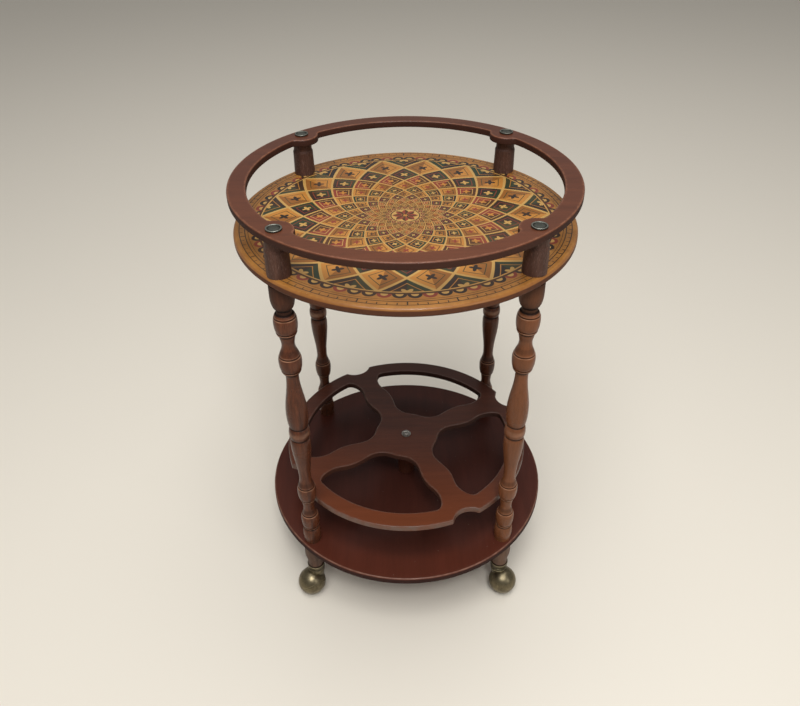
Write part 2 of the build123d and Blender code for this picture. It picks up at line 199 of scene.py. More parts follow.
class Field:
    """A number that changes over a surface: a node's output that can be reckoned with."""

    def __init__(self, wiring: Wiring, socket: bpy.types.NodeSocket) -> None:
        """Holds an output of the wiring's tree."""
        self.wiring = wiring
        self.socket = socket

    def math(self, operation: str, *others: object, clamp: bool = False) -> "Field":
        """Result of a math node with this field as its first value."""
        made = self.wiring.node("ShaderNodeMath", {0: self}, operation=operation, use_clamp=clamp)
        for index, other in enumerate(others, start=1):
            self.wiring.feed(made.inputs[index], other)
        return Field(self.wiring, made.outputs[0])

    def __add__(self, other: object) -> "Field":
        """Sum."""
        return self.math("ADD", other)

    def __sub__(self, other: object) -> "Field":
        """Difference."""
        return self.math("SUBTRACT", other)

    def __mul__(self, other: object) -> "Field":
        """Product."""
        return self.math("MULTIPLY", other)

    def size(self) -> "Field":
        """Value without its sign."""
        return self.math("ABSOLUTE")

    def rest(self) -> "Field":
        """What is left of one."""
        return self * -1.0 + 1.0

    def length(self, other: "Field") -> "Field":
        """Length of the line whose two coordinates these are."""
        return (self * self + other * other).math("SQRT")

    def overlap(self, other: object) -> "Field":
        """The larger of two distances: what lies in both shapes."""
        return self.math("MAXIMUM", other)


def new_material(name: str) -> tuple[bpy.types.Material, Wiring]:
    """Starts a material with an empty tree."""
    made = bpy.data.materials.new(name)
    made.use_nodes = True
    return made, Wiring(made.node_tree)


def node_group(name: str, inputs: dict[str, object], outputs: dict[str, str], kind: str = "ShaderNodeTree") -> tuple:
    """Starts a node group.

    Args:
        name: the group's name.
        inputs: default value by input name, or the socket type of an input without one.
        outputs: socket type by output name.
        kind: the tree's type.

    Returns:
        The group, its wiring, what it takes by name, and its output node.
    """
    group = bpy.data.node_groups.new(name, kind)
    value_types = {int: "NodeSocketInt", float: FLOAT_SOCKET, tuple: COLOUR_SOCKET}
    for label, value in inputs.items():
        socket_type = value_types.get(type(value), value)
        socket = group.interface.new_socket(label, in_out="INPUT", socket_type=socket_type)
        if socket_type is not value:
            socket.default_value = value
    for label, socket_type in outputs.items():
        group.interface.new_socket(label, in_out="OUTPUT", socket_type=socket_type)
    wiring = Wiring(group)
    start = wiring.node("NodeGroupInput")
    end = wiring.node("NodeGroupOutput")
    return group, wiring, wiring.fields(start), end


def wood_grain_group() -> bpy.types.NodeTree:
    """Grain of stained wood, for coordinates that are already drawn out along the grain."""
    group, wiring, given, end = node_group(
        "wood_grain",
        {
            "Vector": VECTOR_SOCKET,
            "Light": BLACK,
            "Dark": BLACK,
            "Pore Colour": BLACK,
            "Figure Scale": 45.0,
            "Contrast": 1.0,
            "Pore Amount": 0.5,
        },
        {"Color": COLOUR_SOCKET, "Pores": FLOAT_SOCKET, "Height": FLOAT_SOCKET},
    )
    scale = given["Figure Scale"]
    figure = wiring.noise(given["Vector"], scale, detail=4.0, distortion=0.8)
    fibre = wiring.noise(given["Vector"], scale * 7.0, detail=3.0, distortion=0.3)
    streaks = (figure * 0.6 + fibre * 0.4 - 0.5) * given["Contrast"]
    share = wiring.spread(streaks, -0.16, 0.16)
    pore_noise = wiring.noise(given["Vector"], scale * 34.0, detail=1.0)
    pores = wiring.spread(pore_noise, 0.60, 0.70) * given["Pore Amount"]
    stained = wiring.blend(share, given["Light"], given["Dark"])
    wiring.feed(end.inputs["Color"], wiring.blend(pores, stained, given["Pore Colour"]))
    wiring.feed(end.inputs["Pores"], pores)
    wiring.feed(end.inputs["Height"], fibre * 0.25 - pores)
    return group


def handling_group() -> bpy.types.NodeTree:
    """Rubbed high places and painted highlights, and painted shade in hollows, from the tone that each piece carries,
    over its own stain, which holds painted light and shade as well.
    """
    group, wiring, given, end = node_group(
        "handling",
        {
            "Vector": VECTOR_SOCKET,
            "Color": GREY,
            "Tone": 0.0,
            "Stain And Light": 0.0,
            "Rub And Highlight Colour": GREY,
            "Bleached And Lit": GREY,
            "Hollow": GREY,
            "Rub And Highlight Amount": 0.5,
            "Hollow Amount": 0.8,
        },
        {"Color": COLOUR_SOCKET, "Dull": FLOAT_SOCKET},
    )
    patches = wiring.noise(given["Vector"], scale=90.0, detail=4.0)
    patchy = wiring.spread(patches, 0.35, 0.65, to_low=0.35, to_high=1.0)
    # Tone above zero pales towards the rub and highlight colour: rubbed high places and painted highlights.
    rub_and_highlight = wiring.spread(given["Tone"], 0.15, 1.0) * patchy * given["Rub And Highlight Amount"]
    # Tone below zero darkens towards the painted shade colour: painted shade in creases, grooves, recesses and under
    # beads.
    shade_and_dull = wiring.spread(given["Tone"], -0.1, -1.0)
    # Stain above zero pales towards the bleached and lit colour, below zero it darkens towards painted shade; it
    # carries painted light and shade as well as stain.
    paler = wiring.blend(wiring.spread(given["Stain And Light"], 0.0, 1.0), given["Color"], given["Bleached And Lit"])
    deeper = wiring.blend(wiring.spread(given["Stain And Light"], 0.0, -1.0), paler, given["Hollow"])
    darker = wiring.blend(shade_and_dull * given["Hollow Amount"], deeper, given["Hollow"])
    wiring.feed(end.inputs["Color"], wiring.blend(rub_and_highlight, darker, given["Rub And Highlight Colour"]))
    wiring.feed(end.inputs["Dull"], shade_and_dull)
    return group


def film_group() -> bpy.types.NodeTree:
    """Gloss of an old clear coat: smears and specks of dust."""
    group, wiring, given, end = node_group(
        "old_film",
        {"Vector": VECTOR_SOCKET, "Roughness": 0.4, "Smear": 0.1, "Dust": 0.3},
        {"Roughness": FLOAT_SOCKET, "Specks": FLOAT_SOCKET},
    )
    cloud = wiring.noise(given["Vector"], scale=14.0, detail=5.0, distortion=0.4)
    smear = (cloud - 0.5) * given["Smear"] * 2.0
    dots = wiring.node("ShaderNodeTexVoronoi", {"Vector": given["Vector"], "Scale": 260.0})
    near = wiring.spread(dots.outputs["Distance"], 0.10, 0.05)
    lot = wiring.node("ShaderNodeSeparateColor", {0: dots.outputs["Color"]}).outputs[0]
    chosen = wiring.spread(lot, 0.955, 0.965)
    specks = near * chosen * given["Dust"]
    rough = given["Roughness"] + smear + specks * 0.3
    wiring.feed(end.inputs["Roughness"], rough.math("MAXIMUM", 0.05))
    wiring.feed(end.inputs["Specks"], specks)
    return group


def patina_group() -> bpy.types.NodeTree:
    """Cloudy tarnish and small pits of old metal."""
    group, wiring, given, end = node_group(
        "patina",
        {"Vector": VECTOR_SOCKET, "Bright": GREY, "Tarnish": GREY, "Amount": 0.5, "Roughness": 0.3},
        {"Color": COLOUR_SOCKET, "Roughness": FLOAT_SOCKET, "Height": FLOAT_SOCKET},
    )
    cloud = wiring.noise(given["Vector"], scale=120.0, detail=5.0, distortion=0.5)
    pits = wiring.spread(wiring.noise(given["Vector"], scale=900.0), 0.62, 0.72)
    cover = (wiring.spread(cloud, 0.32, 0.68) * given["Amount"] + pits * 0.35).math("MINIMUM", 1.0)
    wiring.feed(end.inputs["Color"], wiring.blend(cover, given["Bright"], given["Tarnish"]))
    wiring.feed(end.inputs["Roughness"], given["Roughness"] + cover * 0.22)
    wiring.feed(end.inputs["Height"], cloud * 0.4 - pits)
    return group


@dataclass(frozen=True)
class SharedGroups:
    """Shader groups that several finishes use."""

    grain: bpy.types.NodeTree
    handling: bpy.types.NodeTree
    film: bpy.types.NodeTree
    patina: bpy.types.NodeTree


class GrainAxis(Enum):
    """Direction of the grain in the cart's frame, with how coordinates are drawn out along it."""

    UPRIGHT = (1.0, 1.0, 0.07)
    ACROSS = (0.07, 1.0, 1.0)
    DEEP = (1.0, 0.07, 1.0)


@dataclass(frozen=True)
class WoodFinish:
    """Stained and lacquered wood."""

    name: str
    light: Colour
    dark: Colour
    pore: Colour
    # Pale colour of rubbed high places and painted highlights; dark colour of painted shade in hollows, creases and
    # undersides.
    rub_and_highlight_colour: Colour
    painted_shade: Colour
    axis: GrainAxis
    figure_scale: float = 45.0
    contrast: float = 1.0
    pores: float = 0.5
    rub_and_highlight: float = 0.5
    painted_shade_amount: float = 0.8
    roughness: float = 0.4
    smear: float = 0.06
    dust: float = 0.25
    specular: float = 0.3
    coat: float = 0.1
    coat_roughness: float = 0.2
    bump: float = 0.12
    # Painted light: the stain slopes along this vector, paler where light falls at the front and darker in the shade at
    # the back; bleached_and_lit is its pale colour.
    painted_light_slope: tuple[float, float, float] = (0.0, 0.0, 0.0)
    bleached_and_lit: Colour | None = None
    dust_colour: Colour = (205, 198, 188)
    pore_roughness: float = 0.15
    hollow_roughness: float = 0.5

    def material(self, groups: SharedGroups) -> bpy.types.Material:
        """Builds the finish.

        Args:
            groups: the shared shader groups.

        Returns:
            The material.
        """
        made, wiring = new_material(self.name)
        colour, rough, height, shade_and_dull = self.surface(wiring, wiring.place(), groups)
        wiring.principled(
            {
                "Base Color": colour,
                "Roughness": rough,
                "Normal": wiring.bump(self.bump, WOOD_RELIEF, height),
                "Specular IOR Level": self.specular,
                "Coat Weight": shade_and_dull.rest() * self.coat if self.coat else 0.0,
                "Coat Roughness": self.coat_roughness,
            }
        )
        return made

    def surface(self, wiring: Wiring, place: bpy.types.NodeSocket, groups: SharedGroups) -> tuple:
        """Wires the grain, the handling marks and the old film.

        Args:
            wiring: the material's wiring.
            place: Object coordinates.
            groups: the shared shader groups.

        Returns:
            Colour, roughness, height, and the painted shade mask, which also dulls the surface.
        """
        drawn = wiring.node("ShaderNodeMapping", {"Vector": place, "Scale": self.axis.value}).outputs[0]
        grain = wiring.group(
            groups.grain,
            {
                "Vector": drawn,
                "Light": linear(self.light),
                "Dark": linear(self.dark),
                "Pore Colour": linear(self.pore),
                "Figure Scale": self.figure_scale,
                "Contrast": self.contrast,
                "Pore Amount": self.pores,
            },
        )
        # Painted light and shade: a slope of the stain along painted_light_slope, added to the piece's own stain.
        painted_light = wiring.node("ShaderNodeVectorMath", {0: place, 1: self.painted_light_slope}, operation="DOT_PRODUCT")
        handled = wiring.group(
            groups.handling,
            {
                "Vector": place,
                "Color": grain["Color"],
                "Tone": wiring.carried(TONE),
                "Stain And Light": wiring.carried(STAIN_AND_LIGHT) + painted_light.outputs["Value"],
                "Rub And Highlight Colour": linear(self.rub_and_highlight_colour),
                "Bleached And Lit": linear(self.bleached_and_lit or self.rub_and_highlight_colour),
                "Hollow": linear(self.painted_shade),
                "Rub And Highlight Amount": self.rub_and_highlight,
                "Hollow Amount": self.painted_shade_amount,
            },
        )
        film = wiring.group(
            groups.film, {"Vector": place, "Roughness": self.roughness, "Smear": self.smear, "Dust": self.dust}
        )
        dusty = wiring.blend(film["Specks"], handled["Color"], linear(self.dust_colour))
        rough = film["Roughness"] + grain["Pores"] * self.pore_roughness + handled["Dull"] * self.hollow_roughness
        return dusty, rough, grain["Height"], handled["Dull"]


@dataclass(frozen=True)
class MetalFinish:
    """Plated or turned metal with some tarnish."""

    name: str
    bright: Colour
    tarnish: Colour
    # Pale colour of painted highlights on rims, beads and lips; dark colour of painted shade in grooves, recesses and
    # seams.
    rub_and_highlight_colour: Colour
    painted_shade: Colour = (24, 22, 17)
    amount: float = 0.5
    roughness: float = 0.3
    rub_and_highlight: float = 0.8
    painted_shade_amount: float = 0.85
    bump: float = 0.08

    def material(self, groups: SharedGroups) -> bpy.types.Material:
        """Builds the finish.

        Args:
            groups: the shared shader groups.

        Returns:
            The material.
        """
        made, wiring = new_material(self.name)
        place = wiring.place()
        patina = wiring.group(
            groups.patina,
            {
                "Vector": place,
                "Bright": linear(self.bright),
                "Tarnish": linear(self.tarnish),
                "Amount": self.amount,
                "Roughness": self.roughness,
            },
        )
        handled = wiring.group(
            groups.handling,
            {
                "Vector": place,
                "Color": patina["Color"],
                "Tone": wiring.carried(TONE),
                "Rub And Highlight Colour": linear(self.rub_and_highlight_colour),
                "Hollow": linear(self.painted_shade),
                "Rub And Highlight Amount": self.rub_and_highlight,
                "Hollow Amount": self.painted_shade_amount,
            },
        )
        wiring.principled(
            {
                "Base Color": handled["Color"],
                "Metallic": 1.0,
                "Roughness": patina["Roughness"],
                "Normal": wiring.bump(self.bump, METAL_RELIEF, patina["Height"]),
            }
        )
        return made


class Ink(Enum):
    """Colours of the tray's print."""

    AMBER = (178, 120, 54)
    OCHRE = (136, 86, 38)
    CREAM = (186, 146, 82)
    GREEN = (36, 52, 36)
    SLATE = (34, 30, 29)
    BRICK = (128, 54, 42)
    UMBER = (70, 43, 27)

    @property
    def shade(self) -> tuple[float, float, float, float]:
        """The ink as a linear colour."""
        return linear(self.value)


@dataclass(frozen=True)
class DiamondPrint:
    """Rings of curved diamonds that grow out of a small flower, with a scalloped and ruled border.

    Lengths are in millimetres from the tray's middle. Shares are of a diamond's side.
    """

    soft: float = 0.4
    heart_r: float = 21.0
    field_r: float = 204.0
    scallop_r: float = 208.0
    border_r: float = 220.0
    rule_r: float = 224.0
    scale_r: float = 231.5
    edge_r: float = 238.4
    diamonds: int = 18
    scallops: int = 72
    scallops_per_red: int = 3
    ticks: int = 120
    ticks_per_long: int = 5
    tick_gap: float = 3.0
    tick_half: float = 0.6
    long_tick_half: float = 0.9
    rule_width: float = 1.2
    border_line: float = 0.7
    field_line: float = 1.4
    facet_line: float = 1.1
    line_share: float = 0.045
    facet_share: float = 0.30
    flower_share: float = 0.14
    petal_share: float = 0.4
    petals: float = 4.0
    scallop_eye_share: float = 0.52
    leaves: int = 8
    leaf_start: float = 3.0
    leaf_gap: float = 2.6
    leaf_half: float = 4.4
    bud_r: float = 4.6
    bud_eye_r: float = 3.2
    cream_share: float = 0.22
    rows: tuple[tuple[Ink, Ink, Ink, Ink], ...] = (
        (Ink.GREEN, Ink.SLATE, Ink.AMBER, Ink.CREAM),
        (Ink.AMBER, Ink.OCHRE, Ink.UMBER, Ink.BRICK),
        (Ink.BRICK, Ink.UMBER, Ink.CREAM, Ink.AMBER),
        (Ink.SLATE, Ink.GREEN, Ink.BRICK, Ink.CREAM),
        (Ink.OCHRE, Ink.AMBER, Ink.GREEN, Ink.SLATE),
    )

    ROW_STEP = 50.0

    def group(self) -> bpy.types.NodeTree:
        """Builds the print as a shader group that gives its colour."""
        group, wiring, given, end = node_group("diamond_print", {"Vector": VECTOR_SOCKET}, {"Color": COLOUR_SOCKET})
        x, y = wiring.millimetres(given["Vector"], 2)
        angle = y.math("ARCTAN2", x)
        page = Page(wiring, x.length(y), angle, self.soft, self.paper(wiring, given["Vector"]))
        self.border(page)
        self.diamond_field(page)
        self.heart(page)
        wiring.feed(end.inputs["Color"], page.colour)
        return group

    def paper(self, wiring: Wiring, vector: Field) -> bpy.types.NodeSocket:
        """Mottled amber ground."""
        cloud = wiring.spread(wiring.noise(vector, scale=22.0, detail=5.0, distortion=0.5), 0.3, 0.7)
        fine = wiring.spread(wiring.noise(vector, scale=260.0, detail=3.0), 0.35, 0.7)
        ground = wiring.blend(cloud, Ink.AMBER.shade, Ink.OCHRE.shade)
        return wiring.blend(fine * self.cream_share, ground, Ink.CREAM.shade)

    def border(self, page: "Page") -> None:
        """Draws the ruled scale and the scallops."""
        for radius in (self.scale_r, self.rule_r):
            page.ring(radius, self.rule_width, Ink.SLATE)
        for count, start, width in (
            (self.ticks, self.rule_r + self.tick_gap, self.tick_half),
            (self.ticks // self.ticks_per_long, self.rule_r, self.long_tick_half),
        ):
            page.paint(page.bar(*page.sector(count), start, self.scale_r, width), Ink.SLATE)
        half = math.pi / self.scallops * self.scallop_r
        for count, ink in ((self.scallops, Ink.SLATE), (self.scallops // self.scallops_per_red, Ink.BRICK)):
            along, across = page.sector(count, 0.5)
            reach = (along - self.scallop_r).length(across)
            page.paint(reach - half, ink)
            page.paint(reach - half * self.scallop_eye_share, Ink.CREAM)
        page.paint(page.disc(self.scallop_r), Ink.UMBER)
        page.ring(self.border_r, self.border_line, Ink.UMBER)

    def diamond_field(self, page: "Page") -> None:
        """Draws the diamonds: two inks on each, an inner facet and a small flower, by the ring they are in."""
        grow = self.diamonds / TAU
        around = page.angle * grow
        outward = (page.radius * (1.0 / self.field_r)).math("LOGARITHM", math.e) * grow
        first, second = around + outward, around - outward
        row = first.math("FLOOR") - second.math("FLOOR")
        u = first.math("FRACT") - 0.5
        v = second.math("FRACT") - 0.5
        side = page.radius * (1.0 / (grow * math.sqrt(2.0)))
        square = u.size().overlap(v.size())
        petals = (v.math("ARCTAN2", u) * self.petals).math("COSINE") * (self.flower_share * self.petal_share)
        flower = (u.length(v) - petals - self.flower_share) * side
        tilt = (u + v) * side
        page.paint(page.disc(self.field_r), Ink.CREAM)
        whole = (square - (0.5 - self.line_share)) * side
        facet = (square - self.facet_share) * side
        for number, (light, dark, inner, dot) in enumerate(self.rows):
            chosen = ((row.math("FLOORED_MODULO", float(len(self.rows))) - float(number)).size() - 0.5) * self.ROW_STEP
            within_field = chosen.overlap(page.disc(self.field_r - 1.0))
            page.halves(whole.overlap(within_field), tilt, light, dark)
            page.outline(facet.overlap(within_field), self.facet_line, inner)
            page.paint(flower.overlap(within_field), dot)
        page.ring(self.field_r, self.field_line, Ink.CREAM)

    def heart(self, page: "Page") -> None:
        """Draws the flower in the middle."""
        page.paint(page.disc(self.heart_r), Ink.SLATE)
        page.paint(page.disc(self.heart_r - self.field_line), Ink.CREAM)
        along, across = page.sector(self.leaves)
        leaf = page.leaf(along, across, self.leaf_start, self.heart_r - self.leaf_gap, self.leaf_half)
        page.halves(leaf, across, Ink.BRICK, Ink.UMBER)
        page.paint(page.disc(self.bud_r), Ink.SLATE)
        page.paint(page.disc(self.bud_eye_r), Ink.AMBER)


class Page:
    """A flat print in polar coordinates that takes one colour after another."""

    def __init__(
        self, wiring: Wiring, radius: Field, angle: Field, soft: float, ground: bpy.types.NodeSocket
    ) -> None:
        """Starts with the bare ground."""
        self.wiring = wiring
        self.radius = radius
        self.angle = angle
        self.soft = soft
        self.colour = ground

    def paint(self, distance: Field, ink: Ink) -> None:
        """Lays an ink over a shape, with a soft edge.

        Args:
            distance: distance from the shape's edge, below zero inside.
            ink: the colour.
        """
        cover = distance.math("MULTIPLY_ADD", -1.0 / self.soft, 0.5, clamp=True)
        self.colour = self.wiring.blend(cover, self.colour, ink.shade)

    def halves(self, distance: Field, across: Field, first: Ink, second: Ink) -> None:
        """Lays one ink over each side of a shape's middle line."""
        self.paint(distance, first)
        self.paint(distance.overlap(across), second)

    def outline(self, distance: Field, width: float, ink: Ink) -> None:
        """Draws a line along a shape's edge."""
        self.paint(distance.size() - width / 2.0, ink)

    def ring(self, radius: float, width: float, ink: Ink) -> None:
        """Draws a circle about the middle."""
        self.outline(self.disc(radius), width, ink)

    def disc(self, radius: float) -> Field:
        """Distance from a disc about the middle."""
        return self.radius - radius

    def sector(self, count: int, phase: float = 0.0) -> tuple[Field, Field]:
        """Folds the page into equal sectors.

        Args:
            count: number of sectors.
            phase: how far the sectors are turned, as a share of one.

        Returns:
            Distances along and across the nearest sector's middle line.
        """
        turns = self.angle.math("MULTIPLY_ADD", count / TAU, phase)
        offset = (turns - turns.math("ROUND")) * (TAU / count)
        return self.radius * offset.math("COSINE"), self.radius * offset.math("SINE")

    def bar(self, along: Field, across: Field, start: float, end: float, half: float) -> Field:
        """Distance from a short bar that points outwards."""
        length = (along - (start + end) / 2.0).size() - (end - start) / 2.0
        return length.overlap(across.size() - half)

    def leaf(self, along: Field, across: Field, start: float, tip: float, half: float) -> Field:
        """Distance from a pointed leaf along a sector's middle line."""
        share = along.math("MULTIPLY_ADD", math.pi / (tip - start), -start * math.pi / (tip - start))
        width = share.math("SINE") * half
        ends = (along - (start + tip) / 2.0).size() - (tip - start) / 2.0
        return (across.size() - width).overlap(ends)


@dataclass(frozen=True)
class TrayFinish:
    """A print under a clear coat, which runs over the upper rounding of a stained edge."""

    name: str
    print: DiamondPrint
    edge: WoodFinish
    roughness: float = 0.36
    smear: float = 0.08
    dust: float = 0.35
    dust_colour: Colour = (220, 210, 190)
    age: float = 0.22
    age_colour: Colour = (120, 78, 36)
    specular: float = 0.25
    coat: float = 0.2
    coat_roughness: float = 0.14
    bump: float = 0.05
    print_depth: float = 3.4
    line_soft: float = 0.5
    line_wobble: float = 1.2
    # A pale rim on the print: partly wear, partly a painted highlight along the rounded edge.
    wear_and_highlight: float = 0.5
    wear_and_highlight_reach: float = 1.4

    def material(self, groups: SharedGroups) -> bpy.types.Material:
        """Builds the finish.

        Args:
            groups: the shared shader groups.

        Returns:
            The material.
        """
        made, wiring = new_material(self.name)
        place = wiring.place()
        wood, wood_rough, wood_height, _ = self.edge.surface(wiring, place, groups)
        ink = wiring.group(self.print.group(), {"Vector": place})["Color"]
        film = wiring.group(
            groups.film, {"Vector": place, "Roughness": self.roughness, "Smear": self.smear, "Dust": self.dust}
        )
        aged = wiring.spread(wiring.noise(place, scale=9.0, detail=4.0, distortion=0.6), 0.35, 0.7) * self.age
        yellowed = wiring.blend(aged, ink, linear(self.age_colour))
        dusty = wiring.blend(film["Specks"], yellowed, linear(self.dust_colour))
        x, y, z = wiring.millimetres(place, 3)
        wobble = (wiring.noise(place, scale=40.0, detail=3.0) - 0.5) * self.line_wobble
        line = height_of("tray")[1] - self.print_depth
        bare = wiring.spread(z + wobble, line + self.line_soft, line - self.line_soft)
        edge = self.print.edge_r
        # Pales the print at its rim: wear and a painted highlight.
        worn_and_highlight = wiring.spread(x.length(y) + wobble, edge - self.wear_and_highlight_reach, edge) * self.wear_and_highlight
        rub_and_highlight_colour = wiring.blend(worn_and_highlight, dusty, linear(self.edge.rub_and_highlight_colour))
        wiring.principled(
            {
                "Base Color": wiring.blend(bare, rub_and_highlight_colour, wood),
                "Roughness": film["Roughness"] * bare.rest() + wood_rough * bare,
                "Normal": wiring.bump(self.bump, WOOD_RELIEF, wood_height * bare),
                "Specular IOR Level": self.specular,
                "Coat Weight": bare.rest() * self.coat,
                "Coat Roughness": self.coat_roughness,
            }
        )
        return made


# Turned pieces


@dataclass(frozen=True)
class Columns:
    """The circle on which the posts, legs, feet and casters stand. Lengths are in millimetres."""

    radius: float = 223.0
    first_angle: float = 45.0
    count: int = 4

    def angle(self, name: str) -> float:
        """Bearing of a named column, in radians."""
        return math.radians(self.first_angle + 360.0 / self.count * COLUMN_NAMES.index(name))

    def spot(self, name: str) -> Vector:
        """Foot of a named column, in metres."""
        angle = self.angle(name)
        return Vector((self.radius * MM * math.cos(angle), self.radius * MM * math.sin(angle), 0.0))

    def nodes(self, piece: str) -> list[str]:
        """CAD nodes of one kind of piece on all columns."""
        return [f"{piece}_{name}" for name in COLUMN_NAMES]


MIDDLE = Columns(radius=0.0, count=1)


class FlankEnd(Enum):
    """How a flank of a turned piece ends: running on along the axis, or in a crease that a bead meets square."""

    SMOOTH = "smooth"
    CREASE = "crease"


@dataclass(frozen=True)
class Flank:
    """One stretch of a turned outline: its height, its end radius and the way it ends."""

    rise: float
    radius: float
    end: FlankEnd = FlankEnd.SMOOTH

    ROUND_SHARE = 0.5523
    FLOW_SHARE = 0.4

    def points(self, radius: float, height: float, start: FlankEnd, step: float) -> list[Point]:
        """Samples the flank's curve, without its first point.

        Args:
            radius: radius at the flank's start.
            height: height of the flank's start.
            start: the way the flank before it ends.
            step: rough spacing of the points.

        Returns:
            Radius and height of each point.
        """
        drop = self.radius - radius
        leaves = start is FlankEnd.CREASE and drop > 0.0
        meets = self.end is FlankEnd.CREASE and drop < 0.0
        share = self.ROUND_SHARE if leaves or meets else self.FLOW_SHARE
        first = np.array([radius, height])
        last = np.array([self.radius, height + self.rise])
        out = np.array([share * drop, 0.0]) if leaves else np.array([0.0, share * self.rise])
        back = np.array([share * drop, 0.0]) if meets else np.array([0.0, share * self.rise])
        count = max(6, round(math.hypot(self.rise, drop) / step))
        t = np.linspace(0.0, 1.0, count + 1)[1:, None]
        curve = (
            (1 - t) ** 3 * first
            + 3 * t * (1 - t) ** 2 * (first + out)
            + 3 * t**2 * (1 - t) * (last - back)
            + t**3 * last
        )
        return [(float(r), float(z)) for r, z in curve]


def turned_outline(foot_radius: float, flanks: Sequence[Flank], step: float) -> list[Point]:
    """Joins flanks into one open outline from the foot up.

    Args:
        foot_radius: radius at the foot.
        flanks: the flanks from the foot up.
        step: rough spacing of the points.

    Returns:
        Radius and height of each point.
    """
    points = [(foot_radius, 0.0)]
    start = FlankEnd.SMOOTH
    for part in flanks:
        points += part.points(points[-1][0], points[-1][1], start, step)
        start = part.end
    return points


@dataclass(frozen=True)
class ToolCut:
    """A crisp step that the turning tool leaves on a bead. Lengths are in millimetres.

    The wood is cut back by the depth just above the step's height and comes back over the reach.
    """

    height: float
    depth: float
    reach: float

    SPREAD = (-2.4, -1.6, -0.8, -0.02, 0.02, 0.25, 0.6, 1.2, 1.6, 2.2, 2.8, 3.6)

    def heights(self) -> list[float]:
        """Heights at which the outline needs points to show the step."""
        return [self.height + apart for apart in self.SPREAD]

    def depths(self, heights: np.ndarray) -> np.ndarray:
        """How far the step cuts back the wood at each height."""
        apart = (heights - self.height) / self.reach
        return np.where(apart > 0.0, self.depth * np.exp(-np.clip(apart, 0.0, 40.0)), 0.0)


def stepped(points: Sequence[Point], cuts: Iterable[ToolCut]) -> list[Point]:
    """Cuts the turning tool's steps into an outline.

    Args:
        points: the outline from the foot up.
        cuts: the steps.

    Returns:
        The outline with the steps.
    """
    radii, heights = (np.array(values) for values in zip(*points))
    extra = [height for cut in cuts for height in cut.heights()]
    merged = np.unique(np.concatenate([heights, extra]).round(4))
    result = np.interp(merged, heights, radii)
    for cut in cuts:
        result -= cut.depths(merged)
    return [(float(r), float(z)) for r, z in zip(result, merged)]


def eased(points: Sequence[Point], radius: float, steps: int = 4) -> list[Point]:
    """Rounds the corners of an outline.

    Args:
        points: corner points of an open outline.
        radius: how far from each corner the rounding starts, where there is room.
        steps: points on each rounding.

    Returns:
        The outline with eased corners.
    """
    most = 0.48
    corners = [np.array(point, float) for point in points]
    result = [points[0]]
    for before, corner, after in zip(corners, corners[1:], corners[2:]):
        lengths = [np.linalg.norm(end - corner) for end in (before, after)]
        reach = min(radius, *(most * length for length in lengths))
        first, last = (corner + (end - corner) / length * reach for end, length in zip((before, after), lengths))
        for t in np.linspace(0.0, 1.0, steps + 1):
            spot = (1 - t) ** 2 * first + 2 * t * (1 - t) * corner + t**2 * last
            result.append((float(spot[0]), float(spot[1])))
    result.append(points[-1])
    return result


def share_of(values: np.ndarray) -> np.ndarray:
    """Values held between 0 and 1."""
    return np.clip(values, 0.0, 1.0)


def relief_tones(points: Sequence[Point], window: float, full: float) -> list[float]:
    """Tone of each point of a turned outline: above zero on beads, below zero in hollows.

    Args:
        points: the outline from the foot up.
        window: length along the axis over which the radius is averaged.
        full: difference from the average that gives the full tone.

    Returns:
        Tones between -1 and 1.
    """
    probe = 0.5
    radii, heights = (np.array(values) for values in zip(*points))
    even = np.arange(heights[0], heights[-1], probe)
    sampled = np.interp(even, heights, radii)
    reach = max(1, round(window / probe))
    kernel = np.hanning(2 * reach + 1)
    padded = np.pad(sampled, reach, mode="edge")
    average = np.convolve(padded, kernel / kernel.sum(), mode="valid")
    return [float(v) for v in np.clip((radii - np.interp(heights, even, average)) / full, -1.0, 1.0)]


